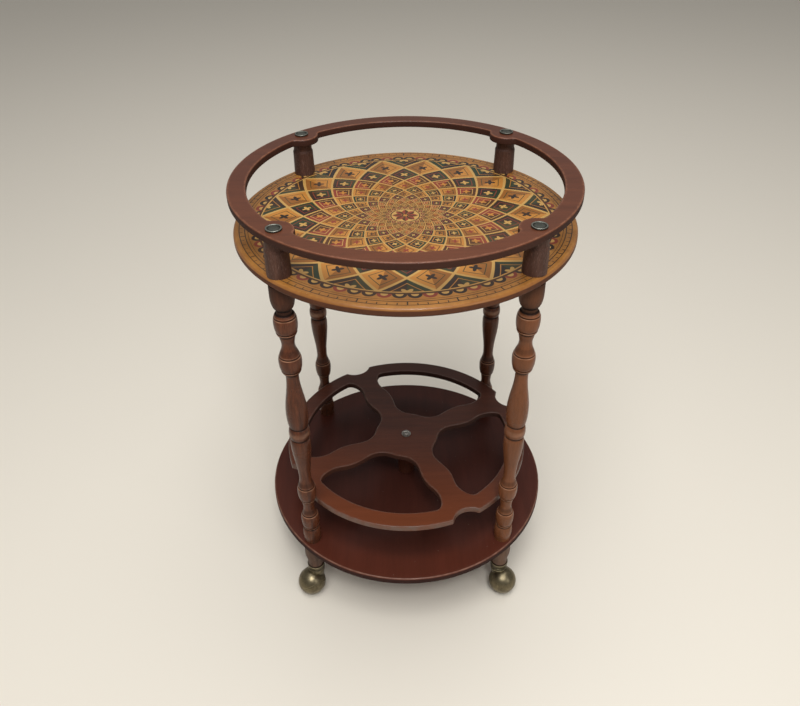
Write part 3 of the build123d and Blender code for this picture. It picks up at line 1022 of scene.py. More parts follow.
def turning_tree() -> bpy.types.NodeTree:
    """Geometry nodes that turn an outline about Z and stand the piece on equal columns."""
    tree, wiring, given, end = node_group(
        "turning",
        {
            "Outline": GEOMETRY_SOCKET,
            "Segments": 48,
            "Crease Angle": math.radians(TURNED_CREASE),
            "Columns": 1,
            "Column Radius": 0.0,
            "First Angle": 0.0,
            "Stain And Light Spread": 0.0,
            "Stain And Light Seed": 0,
            "Material": "NodeSocketMaterial",
        },
        {"Piece": GEOMETRY_SOCKET},
        "GeometryNodeTree",
    )
    rows = wiring.node("GeometryNodeAttributeDomainSize", {0: given["Outline"]}).outputs["Point Count"]
    grid = wiring.node("GeometryNodeMeshGrid", {"Vertices X": given["Segments"] + 1.0, "Vertices Y": rows})
    index = wiring.field(wiring.node("GeometryNodeInputIndex").outputs[0])
    turn = index.math("DIVIDE", rows).math("FLOOR")
    row = index - turn * rows
    place = wiring.node("GeometryNodeSampleIndex", {0: given["Outline"], "Index": row}, data_type="FLOAT_VECTOR")
    wiring.feed(place.inputs["Value"], wiring.node("GeometryNodeInputPosition").outputs[0])
    spot = wiring.node("ShaderNodeSeparateXYZ", {0: place.outputs[0]})
    angle = turn.math("DIVIDE", given["Segments"]) * TAU
    radius = wiring.field(spot.outputs[0])
    ring = wiring.node(
        "ShaderNodeCombineXYZ", {0: radius * angle.math("COSINE"), 1: radius * angle.math("SINE"), 2: spot.outputs[2]}
    )
    bent = wiring.node("GeometryNodeSetPosition", {"Geometry": grid.outputs["Mesh"], "Position": ring.outputs[0]})
    tone_in = wiring.node("GeometryNodeInputNamedAttribute", {"Name": TONE}, data_type="FLOAT")
    tone = wiring.node("GeometryNodeSampleIndex", {0: given["Outline"], "Index": row}, data_type="FLOAT")
    wiring.feed(tone.inputs["Value"], tone_in.outputs[0])
    toned = wiring.node(
        "GeometryNodeStoreNamedAttribute",
        {"Geometry": bent.outputs[0], "Name": TONE, "Value": tone.outputs[0]},
        data_type="FLOAT",
        domain="POINT",
    )
    closed = wiring.node("GeometryNodeMergeByDistance", {"Geometry": toned.outputs[0], "Distance": 1e-6})
    smooth = wiring.node("GeometryNodeSetShadeSmooth", {"Geometry": closed.outputs[0], "Shade Smooth": True})
    bend = wiring.field(wiring.node("GeometryNodeInputMeshEdgeAngle").outputs[0])
    sharp = wiring.node(
        "GeometryNodeSetShadeSmooth",
        {
            "Geometry": smooth.outputs[0],
            "Selection": bend.math("GREATER_THAN", given["Crease Angle"]),
            "Shade Smooth": False,
        },
        domain="EDGE",
    )
    number = wiring.field(wiring.node("GeometryNodeInputIndex").outputs[0])
    bearing = number.math("DIVIDE", given["Columns"]) * TAU + given["First Angle"]
    out = given["Column Radius"]
    feet = wiring.node("ShaderNodeCombineXYZ", {0: out * bearing.math("COSINE"), 1: out * bearing.math("SINE")})
    points = wiring.node("GeometryNodePoints", {"Count": given["Columns"], "Position": feet.outputs[0]})
    stood = wiring.node("GeometryNodeInstanceOnPoints", {"Points": points.outputs[0], "Instance": sharp.outputs[0]})
    # Random stain per column; the legs' seed sets it so that it also paints light and shade.
    chance = wiring.node("FunctionNodeRandomValue", {"Seed": given["Stain And Light Seed"]}, data_type="FLOAT")
    own = (wiring.field(chance.outputs[1]) * 2.0 - 1.0) * given["Stain And Light Spread"]
    stained = wiring.node(
        "GeometryNodeStoreNamedAttribute",
        {"Geometry": stood.outputs[0], "Name": STAIN_AND_LIGHT, "Value": own},
        data_type="FLOAT",
        domain="INSTANCE",
    )
    real = wiring.node("GeometryNodeRealizeInstances", {0: stained.outputs[0]})
    dressed = wiring.node("GeometryNodeSetMaterial", {"Geometry": real.outputs[0], "Material": given["Material"]})
    wiring.feed(end.inputs["Piece"], dressed.outputs[0])
    return tree


class Lathe:
    """Turns outlines into finished pieces with one Geometry Nodes tree."""

    def __init__(self) -> None:
        """Builds the tree once."""
        self.tree = turning_tree()
        self.inputs = {item.name: item.identifier for item in self.tree.interface.items_tree if item.in_out == "INPUT"}

    def turn(
        self,
        name: str,
        outline: Sequence[Point],
        material: bpy.types.Material,
        tones: Sequence[float] | None = None,
        segments: int = 48,
        columns: Columns = MIDDLE,
        lift: float = 0.0,
        stain_and_light_spread: float = 0.0,
        stain_and_light_seed: int = 0,
    ) -> bpy.types.Object:
        """Makes a turned piece, or several alike on equal columns.

        Args:
            name: the piece's name.
            outline: radius and height of each point, in millimetres, with the solid on the left.
            material: its finish.
            tones: the tone of each point.
            segments: sides of the turned shape.
            columns: the columns that they stand on.
            lift: height of the outline's zero above the floor, in millimetres.
            stain_and_light_spread: how far the columns differ in stain, which also paints light and shade on them.
            stain_and_light_seed: seed of that difference.

        Returns:
            The finished object.
        """
        mesh = bpy.data.meshes.new(name)
        points = [(r * MM, 0.0, (z + lift) * MM) for r, z in outline]
        mesh.from_pydata(points, [(i, i + 1) for i in range(len(points) - 1)], [])
        mesh.attributes.new(TONE, "FLOAT", "POINT")
        mesh.attributes[TONE].data.foreach_set("value", list(tones) if tones else [0.0] * len(points))
        made = add_object(name, mesh)
        modifier = made.modifiers.new("turning", "NODES")
        modifier.node_group = self.tree
        for label, value in (
            ("Segments", segments),
            ("Crease Angle", math.radians(TURNED_CREASE)),
            ("Columns", columns.count),
            ("Column Radius", columns.radius * MM),
            ("First Angle", math.radians(columns.first_angle)),
            ("Stain And Light Spread", stain_and_light_spread),
            ("Stain And Light Seed", stain_and_light_seed),
            ("Material", material),
        ):
            modifier[self.inputs[label]] = value
        return made_plain(made)


def add_object(name: str, data: bpy.types.ID) -> bpy.types.Object:
    """Puts a mesh, lamp or camera into the scene as an object at the origin."""
    made = bpy.data.objects.new(name, data)
    bpy.context.scene.collection.objects.link(made)
    return made


def made_plain(made: bpy.types.Object) -> bpy.types.Object:
    """Turns an object's modifiers into a plain mesh.

    Args:
        made: the object with its modifiers.

    Returns:
        The same object with the result as its mesh.
    """
    shown = bpy.context.evaluated_depsgraph_get()
    mesh = bpy.data.meshes.new_from_object(made.evaluated_get(shown), depsgraph=shown)
    made.modifiers.clear()
    old, made.data = made.data, mesh
    mesh.name = made.name
    bpy.data.meshes.remove(old)
    return made


def shade_by_angle(mesh: bpy.types.Mesh, crease: float) -> None:
    """Shades a mesh smooth, apart from edges sharper than an angle in degrees."""
    mesh.polygons.foreach_set("use_smooth", [True] * len(mesh.polygons))
    mesh.set_sharp_from_angle(angle=math.radians(crease))


def place_piece(
    made: bpy.types.Object, body: str, nodes: Sequence[str], material: bpy.types.Material | None = None
) -> None:
    """Lets a piece ride on its body in place of its CAD nodes.

    Args:
        made: the finished object.
        body: the body that it rides on.
        nodes: the CAD nodes that it stands for.
        material: a finish, where the mesh has none yet.
    """
    if material is not None:
        made.data.materials.clear()
        made.data.materials.append(material)
    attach(made, body)
    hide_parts(*nodes)
    log.info("%s: %d faces on %s", made.name, len(made.data.polygons), body)


def polished_copy(node: str, material: bpy.types.Material, body: str) -> None:
    """Replaces a CAD node by a copy with joined faces and smooth shading.

    Args:
        node: the CAD node.
        material: its finish.
        body: the body that it rides on.
    """
    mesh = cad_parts[node].data.copy()
    work = bmesh.new()
    work.from_mesh(mesh)
    bmesh.ops.remove_doubles(work, verts=work.verts, dist=WELD)
    bmesh.ops.dissolve_degenerate(work, edges=work.edges, dist=WELD / 2)
    work.to_mesh(mesh)
    work.free()
    if mesh.has_custom_normals:
        mesh.normals_split_custom_set([(0.0, 0.0, 0.0)] * len(mesh.loops))
    shade_by_angle(mesh, CAD_CREASE)
    made = add_object(f"{node}_finished", mesh)
    place_piece(made, body, [node], material)


# Flat boards with a free outline


def even_loop(points: np.ndarray, spacing: float, ease: float) -> np.ndarray:
    """Spaces a closed outline evenly and eases its corners.

    Args:
        points: corner points, without a repeated end.
        spacing: distance between the new points.
        ease: standard deviation of the smoothing along the outline.

    Returns:
        The new points.
    """
    closed = np.vstack([points, points[:1]])
    run = np.concatenate([[0.0], np.cumsum(np.linalg.norm(np.diff(closed, axis=0), axis=1))])
    count = max(24, round(run[-1] / spacing))
    at = np.arange(count) * run[-1] / count
    spots = np.interp(at, run, closed[:, 0]) + 1j * np.interp(at, run, closed[:, 1])
    waves = np.fft.fftfreq(count) * TAU * ease * count / run[-1]
    smooth = np.fft.ifft(np.fft.fft(spots) * np.exp(-0.5 * waves**2))
    return np.column_stack([smooth.real, smooth.imag])


def quarter_turn(steps: int) -> list[float]:
    """Even angles from nothing to a quarter of a turn, in radians."""
    return [math.pi / 2 * step / steps for step in range(steps + 1)]


def polar(radius: float | np.ndarray, turn: np.ndarray) -> np.ndarray:
    """Points at a radius and bearings about the origin."""
    return np.column_stack([radius * np.cos(turn), radius * np.sin(turn)])


def leftward(loop: np.ndarray) -> np.ndarray:
    """Unit vectors to the left of a closed outline's direction, at each of its points."""
    along = np.roll(loop, -1, axis=0) - np.roll(loop, 1, axis=0)
    along /= np.linalg.norm(along, axis=1)[:, None]
    return np.column_stack([-along[:, 1], along[:, 0]])


def within(points: np.ndarray, loops: Sequence[np.ndarray]) -> np.ndarray:
    """Tells which points lie inside an outline with holes, by counting crossings to their right.

    Args:
        points: the points.
        loops: the outline and its holes.

    Returns:
        True for each point inside.
    """
    inside = np.zeros(len(points), bool)
    for loop in loops:
        for (x0, y0), (x1, y1) in zip(loop, np.roll(loop, -1, axis=0)):
            straddles = (y0 > points[:, 1]) != (y1 > points[:, 1])
            if straddles.any():
                inside ^= straddles & (points[:, 0] < x0 + (points[:, 1] - y0) * (x1 - x0) / (y1 - y0))
    return inside


@dataclass
class CutBoard:
    """A flat board with a free outline, holes and eased edges. Lengths are in millimetres.

    The first loop runs anticlockwise and the holes clockwise, so that the wood is on the left of each.
    """

    name: str
    loops: list[np.ndarray]
    low: float
    high: float
    top_edge: float
    low_edge: float
    # Tones of the upright faces: painted shade below zero, a painted reflection above zero. The pale margin on the top
    # face is rubbed edges with painted highlights.
    outer_wall: float = -0.3
    hole_wall: float = -0.8
    rub_and_highlight_reach: float = 2.0
    rub_and_highlight_tone: float = 0.4
    steps: int = 5

    # Strength and peak of the painted highlight along the top rounding.
    EDGE_TONE = 0.9
    EDGE_PEAK = 3.0
    # The grid on the face: spacing of its rows and least distance from the margin of rubbed edges and painted
    # highlights, in grid spacings.
    ROW_GAP = 1.155 * 0.866
    GRID_GAP = 0.6
    # Lines along the edges: inset and least gap as shares of the margin, and one point kept in so many.
    RUB_AND_HIGHLIGHT_LINES = ((0.4, 0.35, 2), (1.0, 0.95, 3))
    CHUNK = 400

    def section(self, painted_wall_tone: float) -> list[tuple[float, float, float]]:
        """Inset, height and tone of each row of an edge, from the underside up.

        Args:
            painted_wall_tone: tone of the upright face, painted shade below zero and a painted reflection above zero.

        Returns:
            The rows.
        """
        turns = quarter_turn(self.steps)
        rows = []
        for turn in turns:
            rows.append((self.low_edge * (1 - math.sin(turn)), self.low + self.low_edge * (1 - math.cos(turn)), painted_wall_tone))
        for turn in turns:
            # Painted highlight on the upper rounding, over the fading wall tone.
            glint = self.EDGE_TONE * math.sin(turn) ** 3 * math.cos(turn) * self.EDGE_PEAK
            tone = painted_wall_tone * (1 - math.sin(turn)) + glint
            rows.append((self.top_edge * (1 - math.cos(turn)), self.high - self.top_edge * (1 - math.sin(turn)), tone))
        return rows

    def field_points(self, spacing: float) -> np.ndarray:
        """Even points on the board's face, a little way in from its edges."""
        rim = np.vstack(self.loops)
        reach = np.abs(self.loops[0]).max()
        steps = np.arange(-reach, reach, spacing)
        grid = np.array(
            [(x + (spacing / 2 if row % 2 else 0.0), y * self.ROW_GAP) for row, y in enumerate(steps) for x in steps]
        )
        wanted = [(grid, self.top_edge + self.rub_and_highlight_reach + spacing * self.GRID_GAP)]
        for inset, gap, every in self.RUB_AND_HIGHLIGHT_LINES:
            for loop in self.loops:
                line = loop + leftward(loop) * (self.top_edge + self.rub_and_highlight_reach * inset)
                wanted.append((line[::every], self.top_edge + self.rub_and_highlight_reach * gap))
        kept = []
        for points, gap in wanted:
            for start in range(0, len(points), self.CHUNK):
                chunk = points[start : start + self.CHUNK]
                apart = np.sqrt(((chunk[:, None, :] - rim[None, :, :]) ** 2).sum(2)).min(1)
                kept.append(chunk[(apart > gap) & within(chunk, self.loops)])
        return np.vstack(kept)

    def build(self, spacing: float = 7.0) -> bpy.types.Object:
        """Makes the board.

        Args:
            spacing: distance between the points on its faces.

        Returns:
            The object, with its tone on every point.
        """
        work = bmesh.new()
        tone = work.verts.layers.float.new(TONE)
        lids: dict[int, list] = {0: [], 2 * self.steps + 1: []}
        for index, loop in enumerate(self.loops):
            rows = self.section(self.hole_wall if index else self.outer_wall)
            left = leftward(loop)
            rings = []
            for number, (inset, height, shade) in enumerate(rows):
                ring = []
                for x, y in loop + left * inset:
                    spot = work.verts.new((x * MM, y * MM, height * MM))
                    spot[tone] = shade
                    ring.append(spot)
                rings.append(ring)
                if number in lids:
                    lids[number].append(loop + left * inset)
            count = len(loop)
            for lower, upper in zip(rings, rings[1:]):
                for i in range(count):
                    work.faces.new((lower[i], lower[(i + 1) % count], upper[(i + 1) % count], upper[i]))
        inner = self.field_points(spacing)
        rim = np.vstack(self.loops)
        for number, loops in lids.items():
            self.lid(work, tone, loops, inner, rim, rows[number][1], number > 0)
        bmesh.ops.remove_doubles(work, verts=work.verts, dist=WELD)
        mesh = bpy.data.meshes.new(self.name)
        work.to_mesh(mesh)
        work.free()
        shade_by_angle(mesh, BOARD_CREASE)
        return add_object(self.name, mesh)

    def lid(
        self,
        work: bmesh.types.BMesh,
        tone: bmesh.types.BMLayerItem,
        loops: list[np.ndarray],
        inner: np.ndarray,
        rim: np.ndarray,
        height: float,
        faces_up: bool,
    ) -> None:
        """Fills one face of the board.

        Args:
            work: the mesh under work.
            tone: its tone layer.
            loops: the face's own outlines.
            inner: points on the face.
            rim: all points of the board's outlines.
            height: the face's height.
            faces_up: whether it is the upper face.
        """
        spots = [Vector(point) for point in np.vstack([*loops, inner])]
        edges, start = [], 0
        for loop in loops:
            count = len(loop)
            edges += [(start + i, start + (i + 1) % count) for i in range(count)]
            start += count
        flat, _, faces, *_ = delaunay_2d_cdt(spots, edges, [], 1, 1e-6)
        middles = np.array([sum((flat[i] for i in face), Vector((0.0, 0.0))) / len(face) for face in faces])
        made = []
        for spot in flat:
            corner = work.verts.new((spot.x * MM, spot.y * MM, height * MM))
            apart = float(np.sqrt(((rim - np.array(spot)) ** 2).sum(1)).min()) - self.top_edge
            # Pale margin along the edges of the top face: rubbed edges and painted highlights.
            corner[tone] = self.rub_and_highlight_tone * max(0.0, 1.0 - max(0.0, apart) / self.rub_and_highlight_reach)
            made.append(corner)
        for face, on_wood in zip(faces, within(middles, loops)):
            if not on_wood:
                continue
            corners = [made[i] for i in face]
            work.faces.new(corners if faces_up else corners[::-1])


def clamped_curve(points: Sequence[Point], leaving: Point, arriving: Point, steps: int) -> np.ndarray:
    """Smooth curve through points, with a given direction at both ends.

    Args:
        points: the points to pass.
        leaving: direction at the first point.
        arriving: direction at the last point.
        steps: samples on each span.

    Returns:
        Points on the curve.
    """
    spots = np.array(points, float)
    spans = np.linalg.norm(np.diff(spots, axis=0), axis=1)
    count = len(spots)
    matrix, sides = np.zeros((count, count)), np.zeros((count, 2))
    matrix[0, 0] = matrix[-1, -1] = 1.0
    sides[0], sides[-1] = leaving, arriving
    for i in range(1, count - 1):
        before, after = spans[i - 1], spans[i]
        matrix[i, i - 1 : i + 2] = after, 2 * (before + after), before
        sides[i] = 3 * (
            after / before * (spots[i] - spots[i - 1]) + before / after * (spots[i + 1] - spots[i])
        )
    slopes = np.linalg.solve(matrix, sides)
    curve = []
    for i, span in enumerate(spans):
        t = np.linspace(0.0, 1.0, steps, endpoint=False)[:, None]
        curve.append(
            (2 * t**3 - 3 * t**2 + 1) * spots[i]
            + (t**3 - 2 * t**2 + t) * span * slopes[i]
            + (-2 * t**3 + 3 * t**2) * spots[i + 1]
            + (t**3 - t**2) * span * slopes[i + 1]
        )
    return np.vstack([*curve, spots[-1:]])


def circle_loop(radius: float, steps: int, clockwise: bool = False) -> np.ndarray:
    """Points on a circle about the origin."""
    return polar(radius, np.linspace(0.0, TAU, steps, endpoint=False) * (-1.0 if clockwise else 1.0))


# Sub-assemblies


@dataclass
class Finishes:
    """Materials of the cart by the record's slots."""

    ring_wood: bpy.types.Material
    post_wood: bpy.types.Material
    turned_wood: bpy.types.Material
    foot_wood: bpy.types.Material
    shelf_wood: bpy.types.Material
    rack_wood: bpy.types.Material
    tray_print: bpy.types.Material
    cap_metal: bpy.types.Material
    antique_brass: bpy.types.Material
    plain_brass: bpy.types.Material
    zinc_steel: bpy.types.Material


@dataclass
class Gallery:
    """Ring, posts and cap bolts over the tray. Lengths are in millimetres."""

    columns: Columns
    ring_r: float = 240.0
    ring_width: float = 25.5
    ring_edge: float = 2.0
    ring_low_edge: float = 1.2
    # Painted shade on the ring's upright sides; a pale margin of rubbed edges and painted highlights on its top.
    ring_wall: float = -0.9
    ring_rub_and_highlight: float = 0.6
    ring_spacing: float = 1.4
    ring_samples: int = 7200
    lobe_r: float = 25.0
    lobe_fillet: float = 8.0
    lobe_ease: float = 0.8
    post_foot_r: float = 15.8
    post_shoulder_r: float = 15.3
    post_neck_r: float = 13.9
    post_neck_h: float = 11.0
    post_shoulder_h: float = 5.0
    cap_r: float = 10.3
    cap_t: float = 2.6
    cap_dish_r: float = 8.0
    cap_dish_depth: float = 0.9
    cap_lip_out: float = 0.5
    cap_lip_in: float = 0.3
    cap_dome_r_share: float = 0.55
    cap_dome_foot: float = 0.8
    cap_dome_top: float = 0.55
    cap_ease: float = 0.9
    cap_segments: int = 64
    bolt_r: float = 3.0

    def build(self, lathe: Lathe, finishes: Finishes) -> None:
        """Makes and dresses the ring, the posts and the cap bolts."""
        self.build_ring(finishes.ring_wood)
        self.build_posts(lathe, finishes.post_wood)
        self.build_caps(lathe, finishes.cap_metal)

    def inner_radius(self, offset: np.ndarray) -> np.ndarray:
        """Radius of the ring's inner edge.

        Args:
            offset: angles from the nearest column, in radians, without sign.

        Returns:
            The radius at each angle.
        """
        plain = self.ring_r - self.ring_width
        middle, reach = plain - self.lobe_fillet, self.lobe_r + self.lobe_fillet
        out = self.columns.radius
        fillet_angle = math.acos((middle**2 + out**2 - reach**2) / (2 * middle * out))
        fillet_spot = middle * np.array([math.cos(fillet_angle), math.sin(fillet_angle)])
        touch = np.array([out, 0.0]) + (fillet_spot - np.array([out, 0.0])) * self.lobe_r / reach
        touch_angle = math.atan2(touch[1], touch[0])
        lobe = out * np.cos(offset) - np.sqrt(np.clip(self.lobe_r**2 - (out * np.sin(offset)) ** 2, 0.0, None))
        away = fillet_angle - offset
        fillet = middle * np.cos(away) + np.sqrt(np.clip(self.lobe_fillet**2 - (middle * np.sin(away)) ** 2, 0.0, None))
        return np.where(offset >= fillet_angle, plain, np.where(offset >= touch_angle, fillet, lobe))

    def build_ring(self, material: bpy.types.Material) -> None:
        """Makes the ring with its four inner lobes."""
        turn = np.linspace(0.0, TAU, self.ring_samples, endpoint=False)
        pitch = TAU / self.columns.count
        offset = (turn - math.radians(self.columns.first_angle) + pitch / 2) % pitch - pitch / 2
        inner = polar(self.inner_radius(np.abs(offset)), turn)[::-1]
        board = CutBoard(
            "gallery_ring_finished",
            [
                even_loop(circle_loop(self.ring_r, steps=1500), self.ring_spacing, 0.0),
                even_loop(inner, self.ring_spacing, self.lobe_ease),
            ],
            *height_of("gallery_ring"),
            self.ring_edge,
            self.ring_low_edge,
            outer_wall=self.ring_wall,
            rub_and_highlight_tone=self.ring_rub_and_highlight,
        )
        place_piece(board.build(), FRAME_BODY, ["gallery_ring"], material)

    def build_posts(self, lathe: Lathe, material: bpy.types.Material) -> None:
        """Turns the four short posts."""
        low, high = height_of("tray")[1], height_of("gallery_ring")[0]
        body = high - low - self.post_neck_h - self.post_shoulder_h
        flanks = [
            Flank(body, self.post_shoulder_r),
            Flank(self.post_shoulder_h, self.post_neck_r),
            Flank(self.post_neck_h, self.post_neck_r),
        ]
        side = turned_outline(self.post_foot_r, flanks, step=1.5)
        # Pale beads and painted shade in the neck under the ring.
        tones = relief_tones(side, window=9.0, full=2.5)
        outline = [(0.0, 0.0), *side, (0.0, side[-1][1])]
        made = lathe.turn("gallery_posts", outline, material, [0.0, *tones, 0.0], columns=self.columns, lift=low)
        place_piece(made, FRAME_BODY, self.columns.nodes("gallery_post"))

    def build_caps(self, lathe: Lathe, material: bpy.types.Material) -> None:
        """Turns the four cap bolts with their shanks."""
        low, high = height_of("cap_bolts")
        face = high - self.cap_t
        rim = eased(
            [
                (self.bolt_r, 0.0),
                (self.cap_r, 0.0),
                (self.cap_r, self.cap_t),
                (self.cap_dish_r + self.cap_lip_out, self.cap_t),
                (self.cap_dish_r - self.cap_lip_in, self.cap_t - self.cap_dish_depth),
                (self.cap_dish_r * self.cap_dome_r_share, self.cap_t - self.cap_dish_depth * self.cap_dome_foot),
                (0.0, self.cap_t - self.cap_dish_depth * self.cap_dome_top),
            ],
            self.cap_ease,
        )
        outline = [(0.0, low - face), (self.bolt_r, low - face), *rim]
        tones = [self.cap_tone(r - self.cap_dish_r, z - self.cap_t) for r, z in outline]
        made = lathe.turn("cap_bolts_finished", outline, material, tones, self.cap_segments, self.columns, face)
        place_piece(made, FRAME_BODY, ["cap_bolts"])

    def cap_tone(self, past_dish: float, over_rim: float) -> float:
        """Tone of a point of the cap: a painted highlight on the rim and painted shade in the dish's corner."""
        if over_rim > -0.35 and past_dish > -0.4:
            return 1.0
        return -0.8 if -1.2 < past_dish < 0.2 else 0.0


def round_board(
    low: float, high: float, radius: float, edge: float, painted_wall_tone: float, middle: float, steps: int = 8
) -> tuple[list[Point], list[float]]:
    """Outline and tones of a round board with rounded edges.

    Args:
        low: height of its underside.
        high: height of its top.
        radius: its radius.
        edge: radius of its edges.
        painted_wall_tone: tone of its upright side, painted shade.
        middle: tone of the middle of its top, painted shadow where other parts stand over it.
        steps: points on each rounding.

    Returns:
        Outline from the middle of the underside to the middle of the top, and the tone of each point.
    """
    # Painted shade on the underside and the upright side, a painted highlight along the upper rounding.
    under_flat, rub_and_highlight_peak, rub_and_highlight_width, wall_fade = 8.0, 0.62, 0.4, 2.5
    outline = [(0.0, low), (radius * 0.5, low), (radius - edge - under_flat, low)]
    tones = [0.0, 0.0, 0.0]
    turns = quarter_turn(steps)
    for turn in turns:
        outline.append((radius - edge + edge * math.sin(turn), low + edge - edge * math.cos(turn)))
        tones.append(-1.0 + (1.0 + painted_wall_tone) * math.sin(turn))
    for turn in turns:
        outline.append((radius - edge + edge * math.cos(turn), high - edge + edge * math.sin(turn)))
        share = turn * 2 / math.pi
        rub_and_highlight = max(0.0, 1.0 - abs(share - rub_and_highlight_peak) / rub_and_highlight_width)
        tones.append(rub_and_highlight + painted_wall_tone * max(0.0, 1.0 - wall_fade * share))
    for reach, tone in ((1.5, 0.2), (4.0, 0.0), (25.0, 0.0), (50.0, middle), (radius * 0.5, middle)):
        outline.append((radius - edge - reach, high))
        tones.append(tone)
    outline.append((0.0, high))
    tones.append(middle)
    return outline, tones


@dataclass
class Boards:
    """The printed tray and the lower shelf. Lengths are in millimetres."""

    tray_r: float = 240.0
    tray_edge: float = 4.5
    shelf_r: float = 241.0
    # Painted shade on the boards' upright sides, and painted shadow on the middle of the shelf, under the rack.
    tray_wall: float = -0.25
    shelf_edge: float = 3.0
    shelf_wall: float = -0.9
    shelf_middle_shadow: float = -0.4
    segments: int = 256

    def build(self, lathe: Lathe, finishes: Finishes) -> None:
        """Makes and dresses both boards."""
        for node, sizes, material, slot in (
            ("tray", (self.tray_r, self.tray_edge, self.tray_wall, 0.0), finishes.tray_print, "tray_print"),
            (
                "lower_shelf",
                (self.shelf_r, self.shelf_edge, self.shelf_wall, self.shelf_middle_shadow),
                finishes.shelf_wood,
                "shelf_wood",
            ),
        ):
            outline, tones = round_board(*height_of(node), *sizes)
            made = lathe.turn(f"{node}_finished", outline, material, tones, self.segments)
            place_piece(made, FRAME_BODY, [node])


@dataclass
class TurnedLegs:
    """Legs between the shelf and the tray, and feet under the shelf. Lengths are in millimetres."""

    columns: Columns
    foot_r: float = 13.4
    flanks: tuple[Flank, ...] = (
        Flank(17.0, 14.7),
        Flank(15.0, 11.0, FlankEnd.CREASE),
        Flank(22.0, 14.6),
        Flank(26.0, 8.9),
        Flank(16.0, 10.0, FlankEnd.CREASE),
        Flank(23.0, 14.7),
        Flank(28.0, 9.2),
        Flank(75.0, 14.9),
        Flank(9.0, 11.9, FlankEnd.CREASE),
        Flank(11.0, 15.5),
        Flank(12.0, 12.0, FlankEnd.CREASE),
        Flank(25.0, 15.8),
        Flank(69.0, 9.0),
        Flank(5.0, 9.8, FlankEnd.CREASE),
        Flank(22.0, 16.0),
        Flank(28.0, 8.9),
        Flank(14.0, 10.8, FlankEnd.CREASE),
        Flank(20.0, 16.0),
        Flank(15.0, 10.6, FlankEnd.CREASE),
        Flank(6.0, 9.4, FlankEnd.CREASE),
        Flank(20.0, 16.2),
        Flank(18.0, 16.0),
    )
    cuts: tuple[ToolCut, ...] = (
        ToolCut(36.0, 1.3, 1.6),
        ToolCut(64.0, 1.3, 3.0),
        ToolCut(100.0, 1.3, 1.6),
        ToolCut(127.5, 1.3, 3.0),
        ToolCut(358.5, 1.4, 2.2),
        ToolCut(382.5, 0.9, 1.6),
        ToolCut(422.0, 1.4, 2.2),
        ToolCut(445.5, 0.9, 1.6),
    )
    # Tones that paint light and shade on the legs: shade in creases, cuts, waists, towards the tray and on undersides;
    # highlights on lips, shoulders, glints and the collar.
    crease_tone: float = 1.1
    crease_reach: float = 1.7
    cut_tone: float = 1.4
    lip_tone: float = 1.2
    lip_reach: float = 1.5
    glint_tone: float = 0.7
    glint_gap: float = 1.0
    glint_reach: float = 1.2
    relief_share: float = 0.5
    relief_window: float = 13.0
    relief_full: float = 5.5
    lean_share: float = 1.4
    collar_tone: float = 0.6
    collar_height: float = 243.0
    collar_reach: float = 4.0
    corner_tone: float = 0.8
    corner_reach: float = 50.0
    underside_tone: float = 0.9
    shoulder_tone: float = 0.3
    waist_tone: float = 0.55
    waist_reach: float = 6.5
    # Per-leg stain, seeded so the front right leg comes out paler and the back legs darker: random stain and painted
    # light and shade together.
    stain_and_light_spread: float = 0.3
    stain_and_light_seed: int = 375
    caster_foot_r: float = 13.0
    caster_foot_straight: float = 14.5
    caster_foot_taper: float = 24.0
    caster_foot_head: float = 20.0
    caster_foot_head_r: float = 16.0
    # Painted shade on the foot where the cup meets it.
    cup_line: float = 8.6
    cup_line_tone: float = 1.6
    sleeve_bore_r: float = 5.51
    sleeve_length: float = 30.0
    segments: int = 44

    def build(self, lathe: Lathe, finishes: Finishes) -> None:
        """Makes and dresses the legs and the feet."""
        side = turned_outline(self.foot_r, self.flanks, step=1.6)
        cut = stepped(side, self.cuts)
        outline = [(0.0, 0.0), *cut, (0.0, cut[-1][1])]
        tones = [0.0, *self.leg_tones(cut), 0.0]
        legs = self.stand("legs", lathe, outline, tones, finishes.turned_wood, height_of("lower_shelf")[1])
        place_piece(legs, FRAME_BODY, self.columns.nodes("leg"))
        flanks = [
            Flank(self.caster_foot_straight, self.caster_foot_r),
            Flank(self.caster_foot_taper, self.caster_foot_head_r),
            Flank(self.caster_foot_head, self.caster_foot_head_r),
        ]
        side = turned_outline(self.caster_foot_r, flanks, step=0.8)
        bore = [(0.0, self.sleeve_length), (self.sleeve_bore_r, self.sleeve_length), (self.sleeve_bore_r, 0.0)]
        outline = [*bore, *side, (0.0, side[-1][1])]
        tones = [0.0, 0.0, 0.0, *self.foot_tones(side), 0.0]
        feet = self.stand("feet", lathe, outline, tones, finishes.foot_wood, height_of("foot_front_left")[0])
        place_piece(feet, FRAME_BODY, self.columns.nodes("foot"))

    def foot_tones(self, side: Sequence[Point]) -> list[float]:
        """Tones of the foot's outline: pale beads, painted shade in hollows and where the cup ends."""
        tones = relief_tones(side, window=14.0, full=3.0)
        gap = [max(0.0, 1.0 - abs(height - self.cup_line) / self.crease_reach) for _, height in side]
        return [max(-1.0, tone - self.cup_line_tone * near) for tone, near in zip(tones, gap)]

    def leg_tones(self, cut: Sequence[Point]) -> list[float]:
        """Tones of the leg's outline: painted shade on undersides, in creases, cuts and waists and towards the tray;
        painted highlights on shoulders, lips and the collar.

        Args:
            cut: the outline from the foot up.

        Returns:
            The tone of each point.
        """
        radii, heights = (np.array(values) for values in zip(*cut))
        even = np.arange(0.0, heights[-1], 1.0)
        lean = np.interp(heights, even, np.gradient(np.interp(even, heights, radii)))
        # Pale beads and painted shade in hollows.
        tones = self.relief_share * np.array(relief_tones(cut, self.relief_window, self.relief_full))
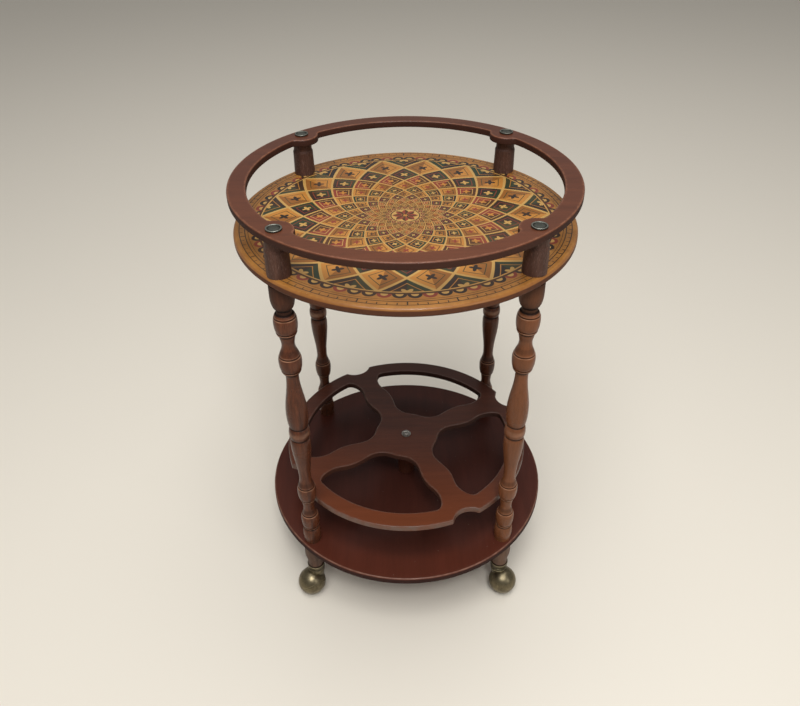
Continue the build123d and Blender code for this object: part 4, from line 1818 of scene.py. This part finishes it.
        # Painted shade on downward-facing flanks, painted light on upward-facing shoulders.
        tones -= self.underside_tone * share_of(self.lean_share * lean)
        tones += self.shoulder_tone * share_of(-self.lean_share * lean)
        # Painted shade growing towards the tray above.
        tones -= self.corner_tone * share_of((heights - heights[-1]) / self.corner_reach + 1.0)
        rises = np.cumsum([part.rise for part in self.flanks])
        # Painted shade in the creases.
        for rise, part in zip(rises, self.flanks):
            if part.end is FlankEnd.CREASE:
                tones -= self.crease_tone * share_of(1.0 - np.abs(heights - rise) / self.crease_reach)
        # Painted highlight along the collar.
        tones += self.collar_tone * share_of(1.5 - np.abs(heights - self.collar_height) / self.collar_reach)
        # At each step: painted shade in the cut above it, a painted highlight on its lip, and a painted glint on the
        # shoulder.
        for step in self.cuts:
            apart = heights - step.height
            tones -= self.cut_tone * np.where(apart > 0.0, share_of(2.0 * (1.0 - apart / self.crease_reach)), 0.0)
            tones += self.lip_tone * np.where(apart <= 0.0, share_of(2.0 * (1.0 + apart / self.lip_reach)), 0.0)
            glint = np.abs(apart - self.crease_reach - self.glint_gap) / self.glint_reach
            tones += self.glint_tone * share_of(1.0 - glint)
        # Painted shade on the waist above each upper lip.
        for step in self.cuts[1::2]:
            apart = np.abs(heights - step.height - self.waist_reach - self.crease_reach)
            tones -= self.waist_tone * share_of(1.5 - 1.5 * apart / self.waist_reach)
        return [float(tone) for tone in np.clip(tones, -1.0, 1.0)]

    def stand(
        self,
        name: str,
        lathe: Lathe,
        outline: Sequence[Point],
        tones: Sequence[float],
        material: bpy.types.Material,
        lift: float,
    ) -> bpy.types.Object:
        """Turns a piece on all four columns."""
        sides, spread, seed = self.segments, self.stain_and_light_spread, self.stain_and_light_seed
        return lathe.turn(name, outline, material, tones, sides, self.columns, lift, spread, seed)


@dataclass
class BottleRack:
    """Revolving disc with four openings, on a column with its pivot bolt. Lengths are in millimetres."""

    radius: float = 207.0
    top_edge: float = 1.8
    low_edge: float = 1.0
    rest_angle: float = -18.2
    opening_r: float = 179.0
    hub: tuple[Point, ...] = ((55.0, 0.0), (57.5, 19.0))
    spoke: tuple[Point, ...] = ((72.0, 36.0), (97.0, 43.0), (125.0, 45.0), (150.0, 37.0))
    arc_angle: float = 33.0
    notch_r: float = 28.5
    notch_circle_r: float = 222.0
    count: int = 4
    bore_r: float = 5.56
    bore_spacing: float = 0.9
    rim_samples: int = 14400
    rim_ease: float = 1.3
    opening_ease: float = 0.8
    spacing: float = 1.2
    # Painted reflection on the rack's outer wall, and a pale margin of rubbed edges and painted highlights.
    painted_wall_tone: float = 0.9
    rub_and_highlight: float = 0.6
    column_r: float = 15.0
    column_ease: float = 1.8

    def build(self, lathe: Lathe, finishes: Finishes) -> None:
        """Makes and dresses the rack, its column and its pivot."""
        loops = [self.rim_loop(), even_loop(circle_loop(self.bore_r, steps=40, clockwise=True), self.bore_spacing, 0.0)]
        loops += [self.opening_loop(index) for index in range(self.count)]
        board = CutBoard(
            "bottle_rack_finished",
            loops,
            *height_of("bottle_rack"),
            self.top_edge,
            self.low_edge,
            outer_wall=self.painted_wall_tone,
            rub_and_highlight_tone=self.rub_and_highlight,
        )
        place_piece(board.build(), "rack", ["bottle_rack"], finishes.rack_wood)
        low, high = height_of("rack_column")
        outline = eased([(0.0, low), (self.column_r, low), (self.column_r, high), (0.0, high)], self.column_ease)
        made = lathe.turn("rack_column_finished", outline, finishes.rack_wood)
        place_piece(made, FRAME_BODY, ["rack_column"])
        for node in ("pivot_bolt", "pivot_washers", "pivot_nut"):
            polished_copy(node, finishes.zinc_steel, FRAME_BODY)

    def rim_loop(self) -> np.ndarray:
        """Outer edge with a notch at the end of each spoke."""
        turn = np.linspace(0.0, TAU, self.rim_samples, endpoint=False)
        pitch = TAU / self.count
        offset = (turn - math.radians(self.rest_angle)) % pitch - pitch / 2
        depth = self.notch_r**2 - (self.notch_circle_r * np.sin(offset)) ** 2
        notch = self.notch_circle_r * np.cos(offset) - np.sqrt(np.clip(depth, 0.0, None))
        radius = np.where(depth > 0.0, np.minimum(notch, self.radius), self.radius)
        return even_loop(polar(radius, turn), self.spacing, self.rim_ease)

    def opening_loop(self, index: int) -> np.ndarray:
        """Edge of one opening: a wavy inner side and a round outer arc."""
        half = math.pi / self.count
        side = [(math.radians(angle), r) for r, angle in self.hub[1:]]
        side += [(half - math.asin(width / 2 / r), r) for r, width in self.spoke]
        side.append((math.radians(self.arc_angle), self.opening_r))
        points = [(r * math.cos(-a), r * math.sin(-a)) for a, r in reversed(side)]
        points.append((self.hub[0][0], 0.0))
        points += [(r * math.cos(a), r * math.sin(a)) for a, r in side]
        turn = math.radians(self.arc_angle)
        leaving, arriving = (-math.sin(turn), -math.cos(turn)), (math.sin(turn), -math.cos(turn))
        wave = clamped_curve(points, leaving, arriving, steps=40)
        loop = np.vstack([wave, polar(self.opening_r, np.linspace(turn, -turn, 200)[1:-1])])
        spin = math.radians(self.rest_angle) + TAU * index / self.count
        spots = (loop[:, 0] + 1j * loop[:, 1]) * np.exp(1j * spin)
        return even_loop(np.column_stack([spots.real, spots.imag]), self.spacing, self.opening_ease)


@dataclass
class BallCasters:
    """Ball casters: cup, ringed neck, hood and wheel on a sloping axle. Lengths are in millimetres."""

    columns: Columns
    yaws: dict[str, float] = field(
        default_factory=lambda: {"back_right": 60.0, "back_left": 160.0, "front_left": 218.0, "front_right": -52.0}
    )
    ball_r: float = 23.5
    trail: float = 12.0
    slope: float = 45.0
    seam: float = 6.0
    seam_gap: float = 0.4
    neck_drop: float = 19.0
    neck_end_r: float = 10.6
    collar_r: float = 14.2
    groove_r: float = 13.0
    ring_r: float = 13.8
    collar_h: float = 3.4
    groove_h: float = 1.6
    ring_h: float = 2.2
    axle_bore_r: float = 2.56
    recess_r: float = 4.8
    recess_depth: float = 3.6
    recess_round: float = 0.1
    recess_rise: float = 0.3
    cup_r: float = 13.05
    cup_wall: float = 1.1
    cup_floor: float = 1.6
    cup_depth: float = 7.5
    cup_bead: float = 0.5
    sleeve_bore_r: float = 4.06
    sleeve_r: float = 5.46
    sleeve_top: float = 31.6
    cup_ease: float = 0.35
    # Reaches of the painted shade inside the cup's lip and at its foot.
    cup_lip: float = 0.4
    cup_foot: float = 0.8
    neck_ease: float = 0.7
    neck_shade: float = 0.5
    lip_start: float = 0.5
    lip_round: float = 0.15
    lip_rise: float = 0.12
    lip_flat: float = 0.55
    cup_segments: int = 56
    ball_segments: int = 64

    def build(self, lathe: Lathe, finishes: Finishes) -> None:
        """Makes and dresses the cups, hoods and wheels."""
        self.build_cups(lathe, finishes.antique_brass)
        hood = self.hood_mesh(lathe, finishes.antique_brass)
        wheel = self.wheel_mesh(lathe, finishes.antique_brass)
        for name in COLUMN_NAMES:
            place = Matrix.Translation(self.columns.spot(name)) @ Matrix.Rotation(math.radians(self.yaws[name]), 4, "Z")
            for piece, mesh, body in (("hood", hood, f"swivel_{name}"), ("wheel", wheel, f"wheel_{name}")):
                own = mesh.copy()
                own.transform(place)
                made = add_object(f"caster_{piece}_{name}_finished", own)
                place_piece(made, body, [f"caster_{piece}_{name}"])
            polished_copy(f"caster_axle_{name}", finishes.zinc_steel, f"swivel_{name}")
        for mesh in (hood, wheel):
            bpy.data.meshes.remove(mesh)

    def build_cups(self, lathe: Lathe, material: bpy.types.Material) -> None:
        """Turns the cups round the feet, each with its sleeve."""
        outer = self.cup_r + self.cup_wall
        rim = self.cup_floor + self.cup_depth
        bead = 2 * self.cup_bead
        cup = eased(
            [
                (self.sleeve_bore_r, 0.0),
                (outer, 0.0),
                (outer, rim - 1.6 * bead),
                (outer + self.cup_bead, rim - bead),
                (outer + self.cup_bead, rim),
                (self.cup_r, rim),
                (self.cup_r, self.cup_floor),
                (self.sleeve_r, self.cup_floor),
            ],
            self.cup_ease,
        )
        outline = [*cup, (self.sleeve_r, self.sleeve_top), (self.sleeve_bore_r, self.sleeve_top), cup[0]]
        tones = [self.cup_tone(r, z, rim - bead) for r, z in outline]
        lift = height_of("caster_socket_front_left")[0]
        made = lathe.turn("caster_cups", outline, material, tones, self.cup_segments, self.columns, lift)
        place_piece(made, FRAME_BODY, self.columns.nodes("caster_socket"))

    def cup_tone(self, radius: float, height: float, bead: float) -> float:
        """Tone of a point of the cup: a painted highlight on its bead, painted shade inside its lip and at its foot."""
        if radius <= self.cup_r + self.cup_lip or height < self.cup_foot:
            return -1.0
        return 1.0 if height > bead else -0.2

    def axle_place(self) -> Matrix:
        """Turns the lathe's axis onto the axle's line through the ball's middle."""
        slope = math.radians(self.slope)
        line = Vector((0.0, math.cos(slope), -math.sin(slope)))
        turn = Vector((0.0, 0.0, 1.0)).rotation_difference(line).to_matrix().to_4x4()
        return Matrix.Translation(Vector((self.trail, 0.0, self.ball_r)) * MM) @ turn

    def ball_side(self, start: float, end: float, steps: int) -> list[Point]:
        """Points on the ball between two distances along the axle."""
        first, last = math.asin(max(-1.0, start / self.ball_r)), math.asin(min(1.0, end / self.ball_r))
        turns = np.linspace(first, last, steps)
        return [(float(self.ball_r * math.cos(t)), float(self.ball_r * math.sin(t))) for t in turns]

    def hood_mesh(self, lathe: Lathe, material: bpy.types.Material) -> bpy.types.Mesh:
        """Ball above the seam joined with the ringed neck, in the caster's own frame."""
        end = self.seam - self.seam_gap / 2
        side = self.ball_side(-self.ball_r, end - self.lip_start, steps=30)
        lip_r = math.sqrt(self.ball_r**2 - end**2)
        lip = [(lip_r - self.lip_round, end - self.lip_rise), (lip_r - self.lip_flat, end), (0.0, end)]
        outline = [(0.0, -self.ball_r), *side[1:], *lip]
        # Painted highlight on the lip and painted shade at the seam.
        tones = [0.0] * (len(outline) - 4) + [0.4, 0.8, -1.0, -1.0]
        dome = lathe.turn("hood_dome", outline, material, tones, segments=self.ball_segments)
        dome.data.transform(self.axle_place())
        top = height_of("caster_hood_front_left")[1]
        collar = top - self.collar_h
        groove = collar - self.groove_h
        ring = groove - self.ring_h
        start = 2 * self.ball_r - self.neck_drop
        neck_side = eased(
            [
                (0.0, start),
                (self.neck_end_r, start),
                (self.groove_r, ring),
                (self.ring_r, ring),
                (self.ring_r, groove),
                (self.groove_r, groove),
                (self.groove_r, collar),
                (self.collar_r, collar),
                (self.collar_r, top),
                (0.0, top),
            ],
            self.neck_ease,
        )
        # Painted highlights on the ring and collar, painted shade in the groove between them.
        bright, dark = self.groove_r + self.neck_shade, ring - self.neck_shade
        tones = [0.8 if r > bright else (-1.0 if z > dark else 0.0) for r, z in neck_side]
        neck = lathe.turn("hood_neck", neck_side, material, tones, segments=self.ball_segments)
        joint = dome.modifiers.new("neck", "BOOLEAN")
        joint.operation = "UNION"
        joint.solver = "EXACT"
        joint.object = neck
        made_plain(dome)
        mesh = dome.data
        shade_by_angle(mesh, TURNED_CREASE)
        bpy.data.objects.remove(dome)
        bpy.data.objects.remove(neck)
        return mesh

    def wheel_mesh(self, lathe: Lathe, material: bpy.types.Material) -> bpy.types.Mesh:
        """Ball below the seam with its bore and the recess for the axle's head, in the caster's own frame."""
        start = self.seam + self.seam_gap / 2
        lip_r = math.sqrt(self.ball_r**2 - start**2)
        floor = self.ball_r - self.recess_depth
        edge = math.sqrt(self.ball_r**2 - self.recess_r**2)
        side = self.ball_side(start + self.lip_start, edge - self.lip_round, steps=26)
        outline = [
            (self.axle_bore_r, start),
            (lip_r - self.lip_flat, start),
            (lip_r - self.lip_round, start + self.lip_rise),
            *side,
            (self.recess_r - self.recess_round, edge - self.recess_rise),
            (self.recess_r - self.lip_round, floor),
            (self.axle_bore_r, floor),
            (self.axle_bore_r, start),
        ]
        # Painted shade at the seam and in the axle's recess, painted highlights on the lip and the recess's edge.
        tones = [-1.0, -1.0, 0.8] + [0.0] * len(side) + [0.5, -0.9, -0.9, -1.0]
        made = lathe.turn("wheel_ball", outline, material, tones, segments=self.ball_segments)
        made.data.transform(self.axle_place())
        mesh = made.data
        bpy.data.objects.remove(made)
        return mesh


def dress_inner_pieces(finishes: Finishes) -> None:
    """Gives the pieces inside the wood and the brass their metals."""
    plan = {"leg_inserts": finishes.plain_brass, "rack_bush": finishes.plain_brass, "shelf_screws": finishes.zinc_steel}
    plan |= {f"caster_stem_{name}": finishes.zinc_steel for name in COLUMN_NAMES}
    for node, material in plan.items():
        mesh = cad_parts[node].data
        mesh.materials.clear()
        mesh.materials.append(material)
        log.info("%s: CAD shape in %s", node, material.name)


# Studio


@dataclass(frozen=True)
class Lamp:
    """A soft square lamp: its place, the point it faces and its side in metres, and its power in watts."""

    name: str
    spot: tuple[float, float, float]
    target: tuple[float, float, float]
    size: float
    power: float

    def hang(self) -> None:
        """Puts the lamp into the scene."""
        lamp = bpy.data.lights.new(self.name, "AREA")
        lamp.size = self.size
        lamp.energy = self.power
        made = add_object(self.name, lamp)
        made.location = self.spot
        made.rotation_euler = (Vector(self.target) - Vector(self.spot)).to_track_quat("-Z", "Y").to_euler()


@dataclass
class Studio:
    """Floor, light and the camera. Lengths are in metres, the sensor's in millimetres, and angles in degrees."""

    camera_distance: float = 0.91715
    camera_height: float = 1.08664
    pitch: float = 37.035
    yaw: float = -0.590
    roll: float = -0.601
    turn: float = -0.557
    focal_pixels: float = 708.72
    image_width: int = 800
    sensor: float = 36.0
    floor_size: float = 30.0
    floor_colour: Colour = (226, 219, 206)
    floor_roughness: float = 0.45
    world_colour: Colour = (250, 248, 244)
    world_strength: float = 0.3
    lamps: tuple[Lamp, ...] = (
        Lamp("key", (-0.2, -1.35, 3.1), (0.0, 0.0, 0.35), 1.8, 60.0),
        Lamp("overhead", (0.3, 0.9, 4.2), (0.0, 0.4, 0.3), 3.4, 60.0),
        Lamp("spark", (0.25, -1.5, 2.3), (0.0, 0.0, 0.35), 0.35, 10.0),
        Lamp("fill", (1.8, -1.9, 1.5), (0.0, -0.2, 0.2), 0.9, 9.0),
    )

    def build(self) -> None:
        """Makes the floor, the lights and the camera."""
        self.build_floor()
        self.build_world()
        for lamp in self.lamps:
            lamp.hang()
        self.build_camera()

    def build_floor(self) -> None:
        """Lays the plain pale floor."""
        material, wiring = new_material("studio_floor")
        wiring.principled({"Base Color": linear(self.floor_colour), "Roughness": self.floor_roughness})
        half = self.floor_size / 2
        mesh = bpy.data.meshes.new("floor")
        mesh.from_pydata([(-half, -half, 0), (half, -half, 0), (half, half, 0), (-half, half, 0)], [], [(0, 1, 2, 3)])
        mesh.materials.append(material)
        add_object("floor", mesh)

    def build_world(self) -> None:
        """Lights the scene evenly from all round."""
        world = bpy.data.worlds.new("studio")
        bpy.context.scene.world = world
        world.use_nodes = True
        wiring = Wiring(world.node_tree)
        glow = wiring.node(
            "ShaderNodeBackground", {"Color": linear(self.world_colour), "Strength": self.world_strength}
        )
        wiring.node("ShaderNodeOutputWorld", {"Surface": glow.outputs[0]})

    def build_camera(self) -> None:
        """Sets the camera where the photograph was taken from."""
        pitch, yaw, roll = (math.radians(value) for value in (self.pitch, self.yaw, self.roll))
        ahead = Vector((math.sin(yaw) * math.cos(pitch), math.cos(yaw) * math.cos(pitch), -math.sin(pitch)))
        level = Vector((math.cos(yaw), -math.sin(yaw), 0.0))
        over = level.cross(ahead)
        right = level * math.cos(roll) + over * math.sin(roll)
        up = over * math.cos(roll) - level * math.sin(roll)
        axes = Matrix((right, up, -ahead)).transposed().to_4x4()
        spot = Matrix.Translation((0.0, -self.camera_distance, self.camera_height))
        data = bpy.data.cameras.new("camera")
        data.sensor_width = self.sensor
        data.lens = self.focal_pixels * self.sensor / self.image_width
        made = add_object("camera", data)
        made.matrix_world = Matrix.Rotation(math.radians(self.turn), 4, "Z") @ spot @ axes
        bpy.context.scene.camera = made


def make_finishes() -> Finishes:
    """Builds every material of the cart."""
    groups = SharedGroups(wood_grain_group(), handling_group(), film_group(), patina_group())
    tray_edge = WoodFinish(
        "tray_edge", (104, 60, 34), (76, 42, 25), (46, 26, 17), (134, 84, 44), (40, 23, 15), GrainAxis.ACROSS,
        contrast=0.7, pores=0.25, roughness=0.6,
    )
    woods = {
        # Painted light: the ring's top is paler at the front and darker at the back.
        "ring_wood": WoodFinish(
            "ring_wood", (94, 51, 33), (72, 38, 25), (42, 23, 17), (146, 98, 72), (36, 20, 15), GrainAxis.ACROSS,
            contrast=0.7, pores=0.3, rub_and_highlight=0.9, roughness=0.32, specular=0.22, coat=0.06, painted_light_slope=(0.0, -0.4, 0.0),
        ),
        "post_wood": WoodFinish(
            "post_wood", (88, 60, 49), (60, 40, 33), (128, 100, 90), (124, 92, 78), (26, 17, 13), GrainAxis.UPRIGHT,
            figure_scale=70.0, contrast=1.1, pores=0.55, rub_and_highlight=0.4, roughness=0.5, specular=0.18, coat=0.0, bump=0.3,
            dust=0.6,
        ),
        # Paler legs take bleached_and_lit: partly stain, partly painted light on the front right leg.
        "turned_wood": WoodFinish(
            "turned_wood", (104, 59, 38), (64, 36, 25), (30, 17, 13), (166, 124, 98), (20, 12, 9), GrainAxis.UPRIGHT,
            figure_scale=55.0, contrast=1.1, pores=0.6, rub_and_highlight=0.85, painted_shade_amount=0.95, roughness=0.28, specular=0.18,
            coat=0.04, bump=0.25, bleached_and_lit=(168, 108, 66),
        ),
        "foot_wood": WoodFinish(
            "foot_wood", (104, 76, 61), (70, 50, 40), (40, 28, 22), (132, 102, 82), (30, 21, 16), GrainAxis.UPRIGHT,
            figure_scale=55.0, pores=0.5, rub_and_highlight=0.3, roughness=0.5, specular=0.2, coat=0.0, bump=0.2,
        ),
        # Painted light: the shelf is paler at the lit front and darker at the back, in the shade of the tray and rack.
        "shelf_wood": WoodFinish(
            "shelf_wood", (78, 38, 29), (60, 29, 22), (34, 16, 13), (148, 112, 94), (22, 15, 15), GrainAxis.DEEP,
            contrast=0.6, pores=0.2, rub_and_highlight=0.8, roughness=0.3, dust=0.5, specular=0.14, coat=0.06, coat_roughness=0.12,
            painted_light_slope=(0.0, -1.0, 0.0), bleached_and_lit=(108, 54, 36),
        ),
        # Painted light: the rack is paler and warmer at its lit front and darker at the back, in the tray's shade.
        "rack_wood": WoodFinish(
            "rack_wood", (88, 48, 34), (64, 35, 26), (36, 20, 15), (104, 89, 80), (30, 17, 13), GrainAxis.ACROSS,
            contrast=0.8, pores=0.3, rub_and_highlight=0.9, roughness=0.34, specular=0.22, coat=0.05, painted_light_slope=(-0.3, -1.8, 0.0),
            bleached_and_lit=(142, 74, 39),
        ),
    }
    metals = {
        "cap_metal": MetalFinish(
            "cap_metal", (112, 114, 106), (62, 63, 57), (156, 156, 146), amount=0.6, roughness=0.36,
        ),
        "antique_brass": MetalFinish(
            "antique_brass", (132, 121, 96), (60, 55, 45), (190, 178, 142), amount=0.55, roughness=0.33,
        ),
        "plain_brass": MetalFinish("plain_brass", (196, 164, 96), (150, 118, 62), (214, 186, 120), amount=0.4),
        "zinc_steel": MetalFinish(
            "zinc_steel", (168, 165, 158), (120, 116, 110), (190, 187, 180), amount=0.5, roughness=0.48,
        ),
    }
    made = {name: finish.material(groups) for name, finish in (woods | metals).items()}
    return Finishes(tray_print=TrayFinish("tray_print", DiamondPrint(), tray_edge).material(groups), **made)


def main() -> None:
    """Builds the cart's pieces in order, then the studio."""
    logging.basicConfig(level=logging.INFO, format="%(name)s %(message)s")
    bpy.context.scene.view_settings.view_transform = "Standard"
    finishes = make_finishes()
    lathe = Lathe()
    columns = Columns()
    for part in (Gallery(columns), Boards(), TurnedLegs(columns), BottleRack(), BallCasters(columns)):
        part.build(lathe, finishes)
        log.info("%s is dressed", type(part).__name__)
    dress_inner_pieces(finishes)
    Studio().build()


if __name__ == "__main__":
    main()
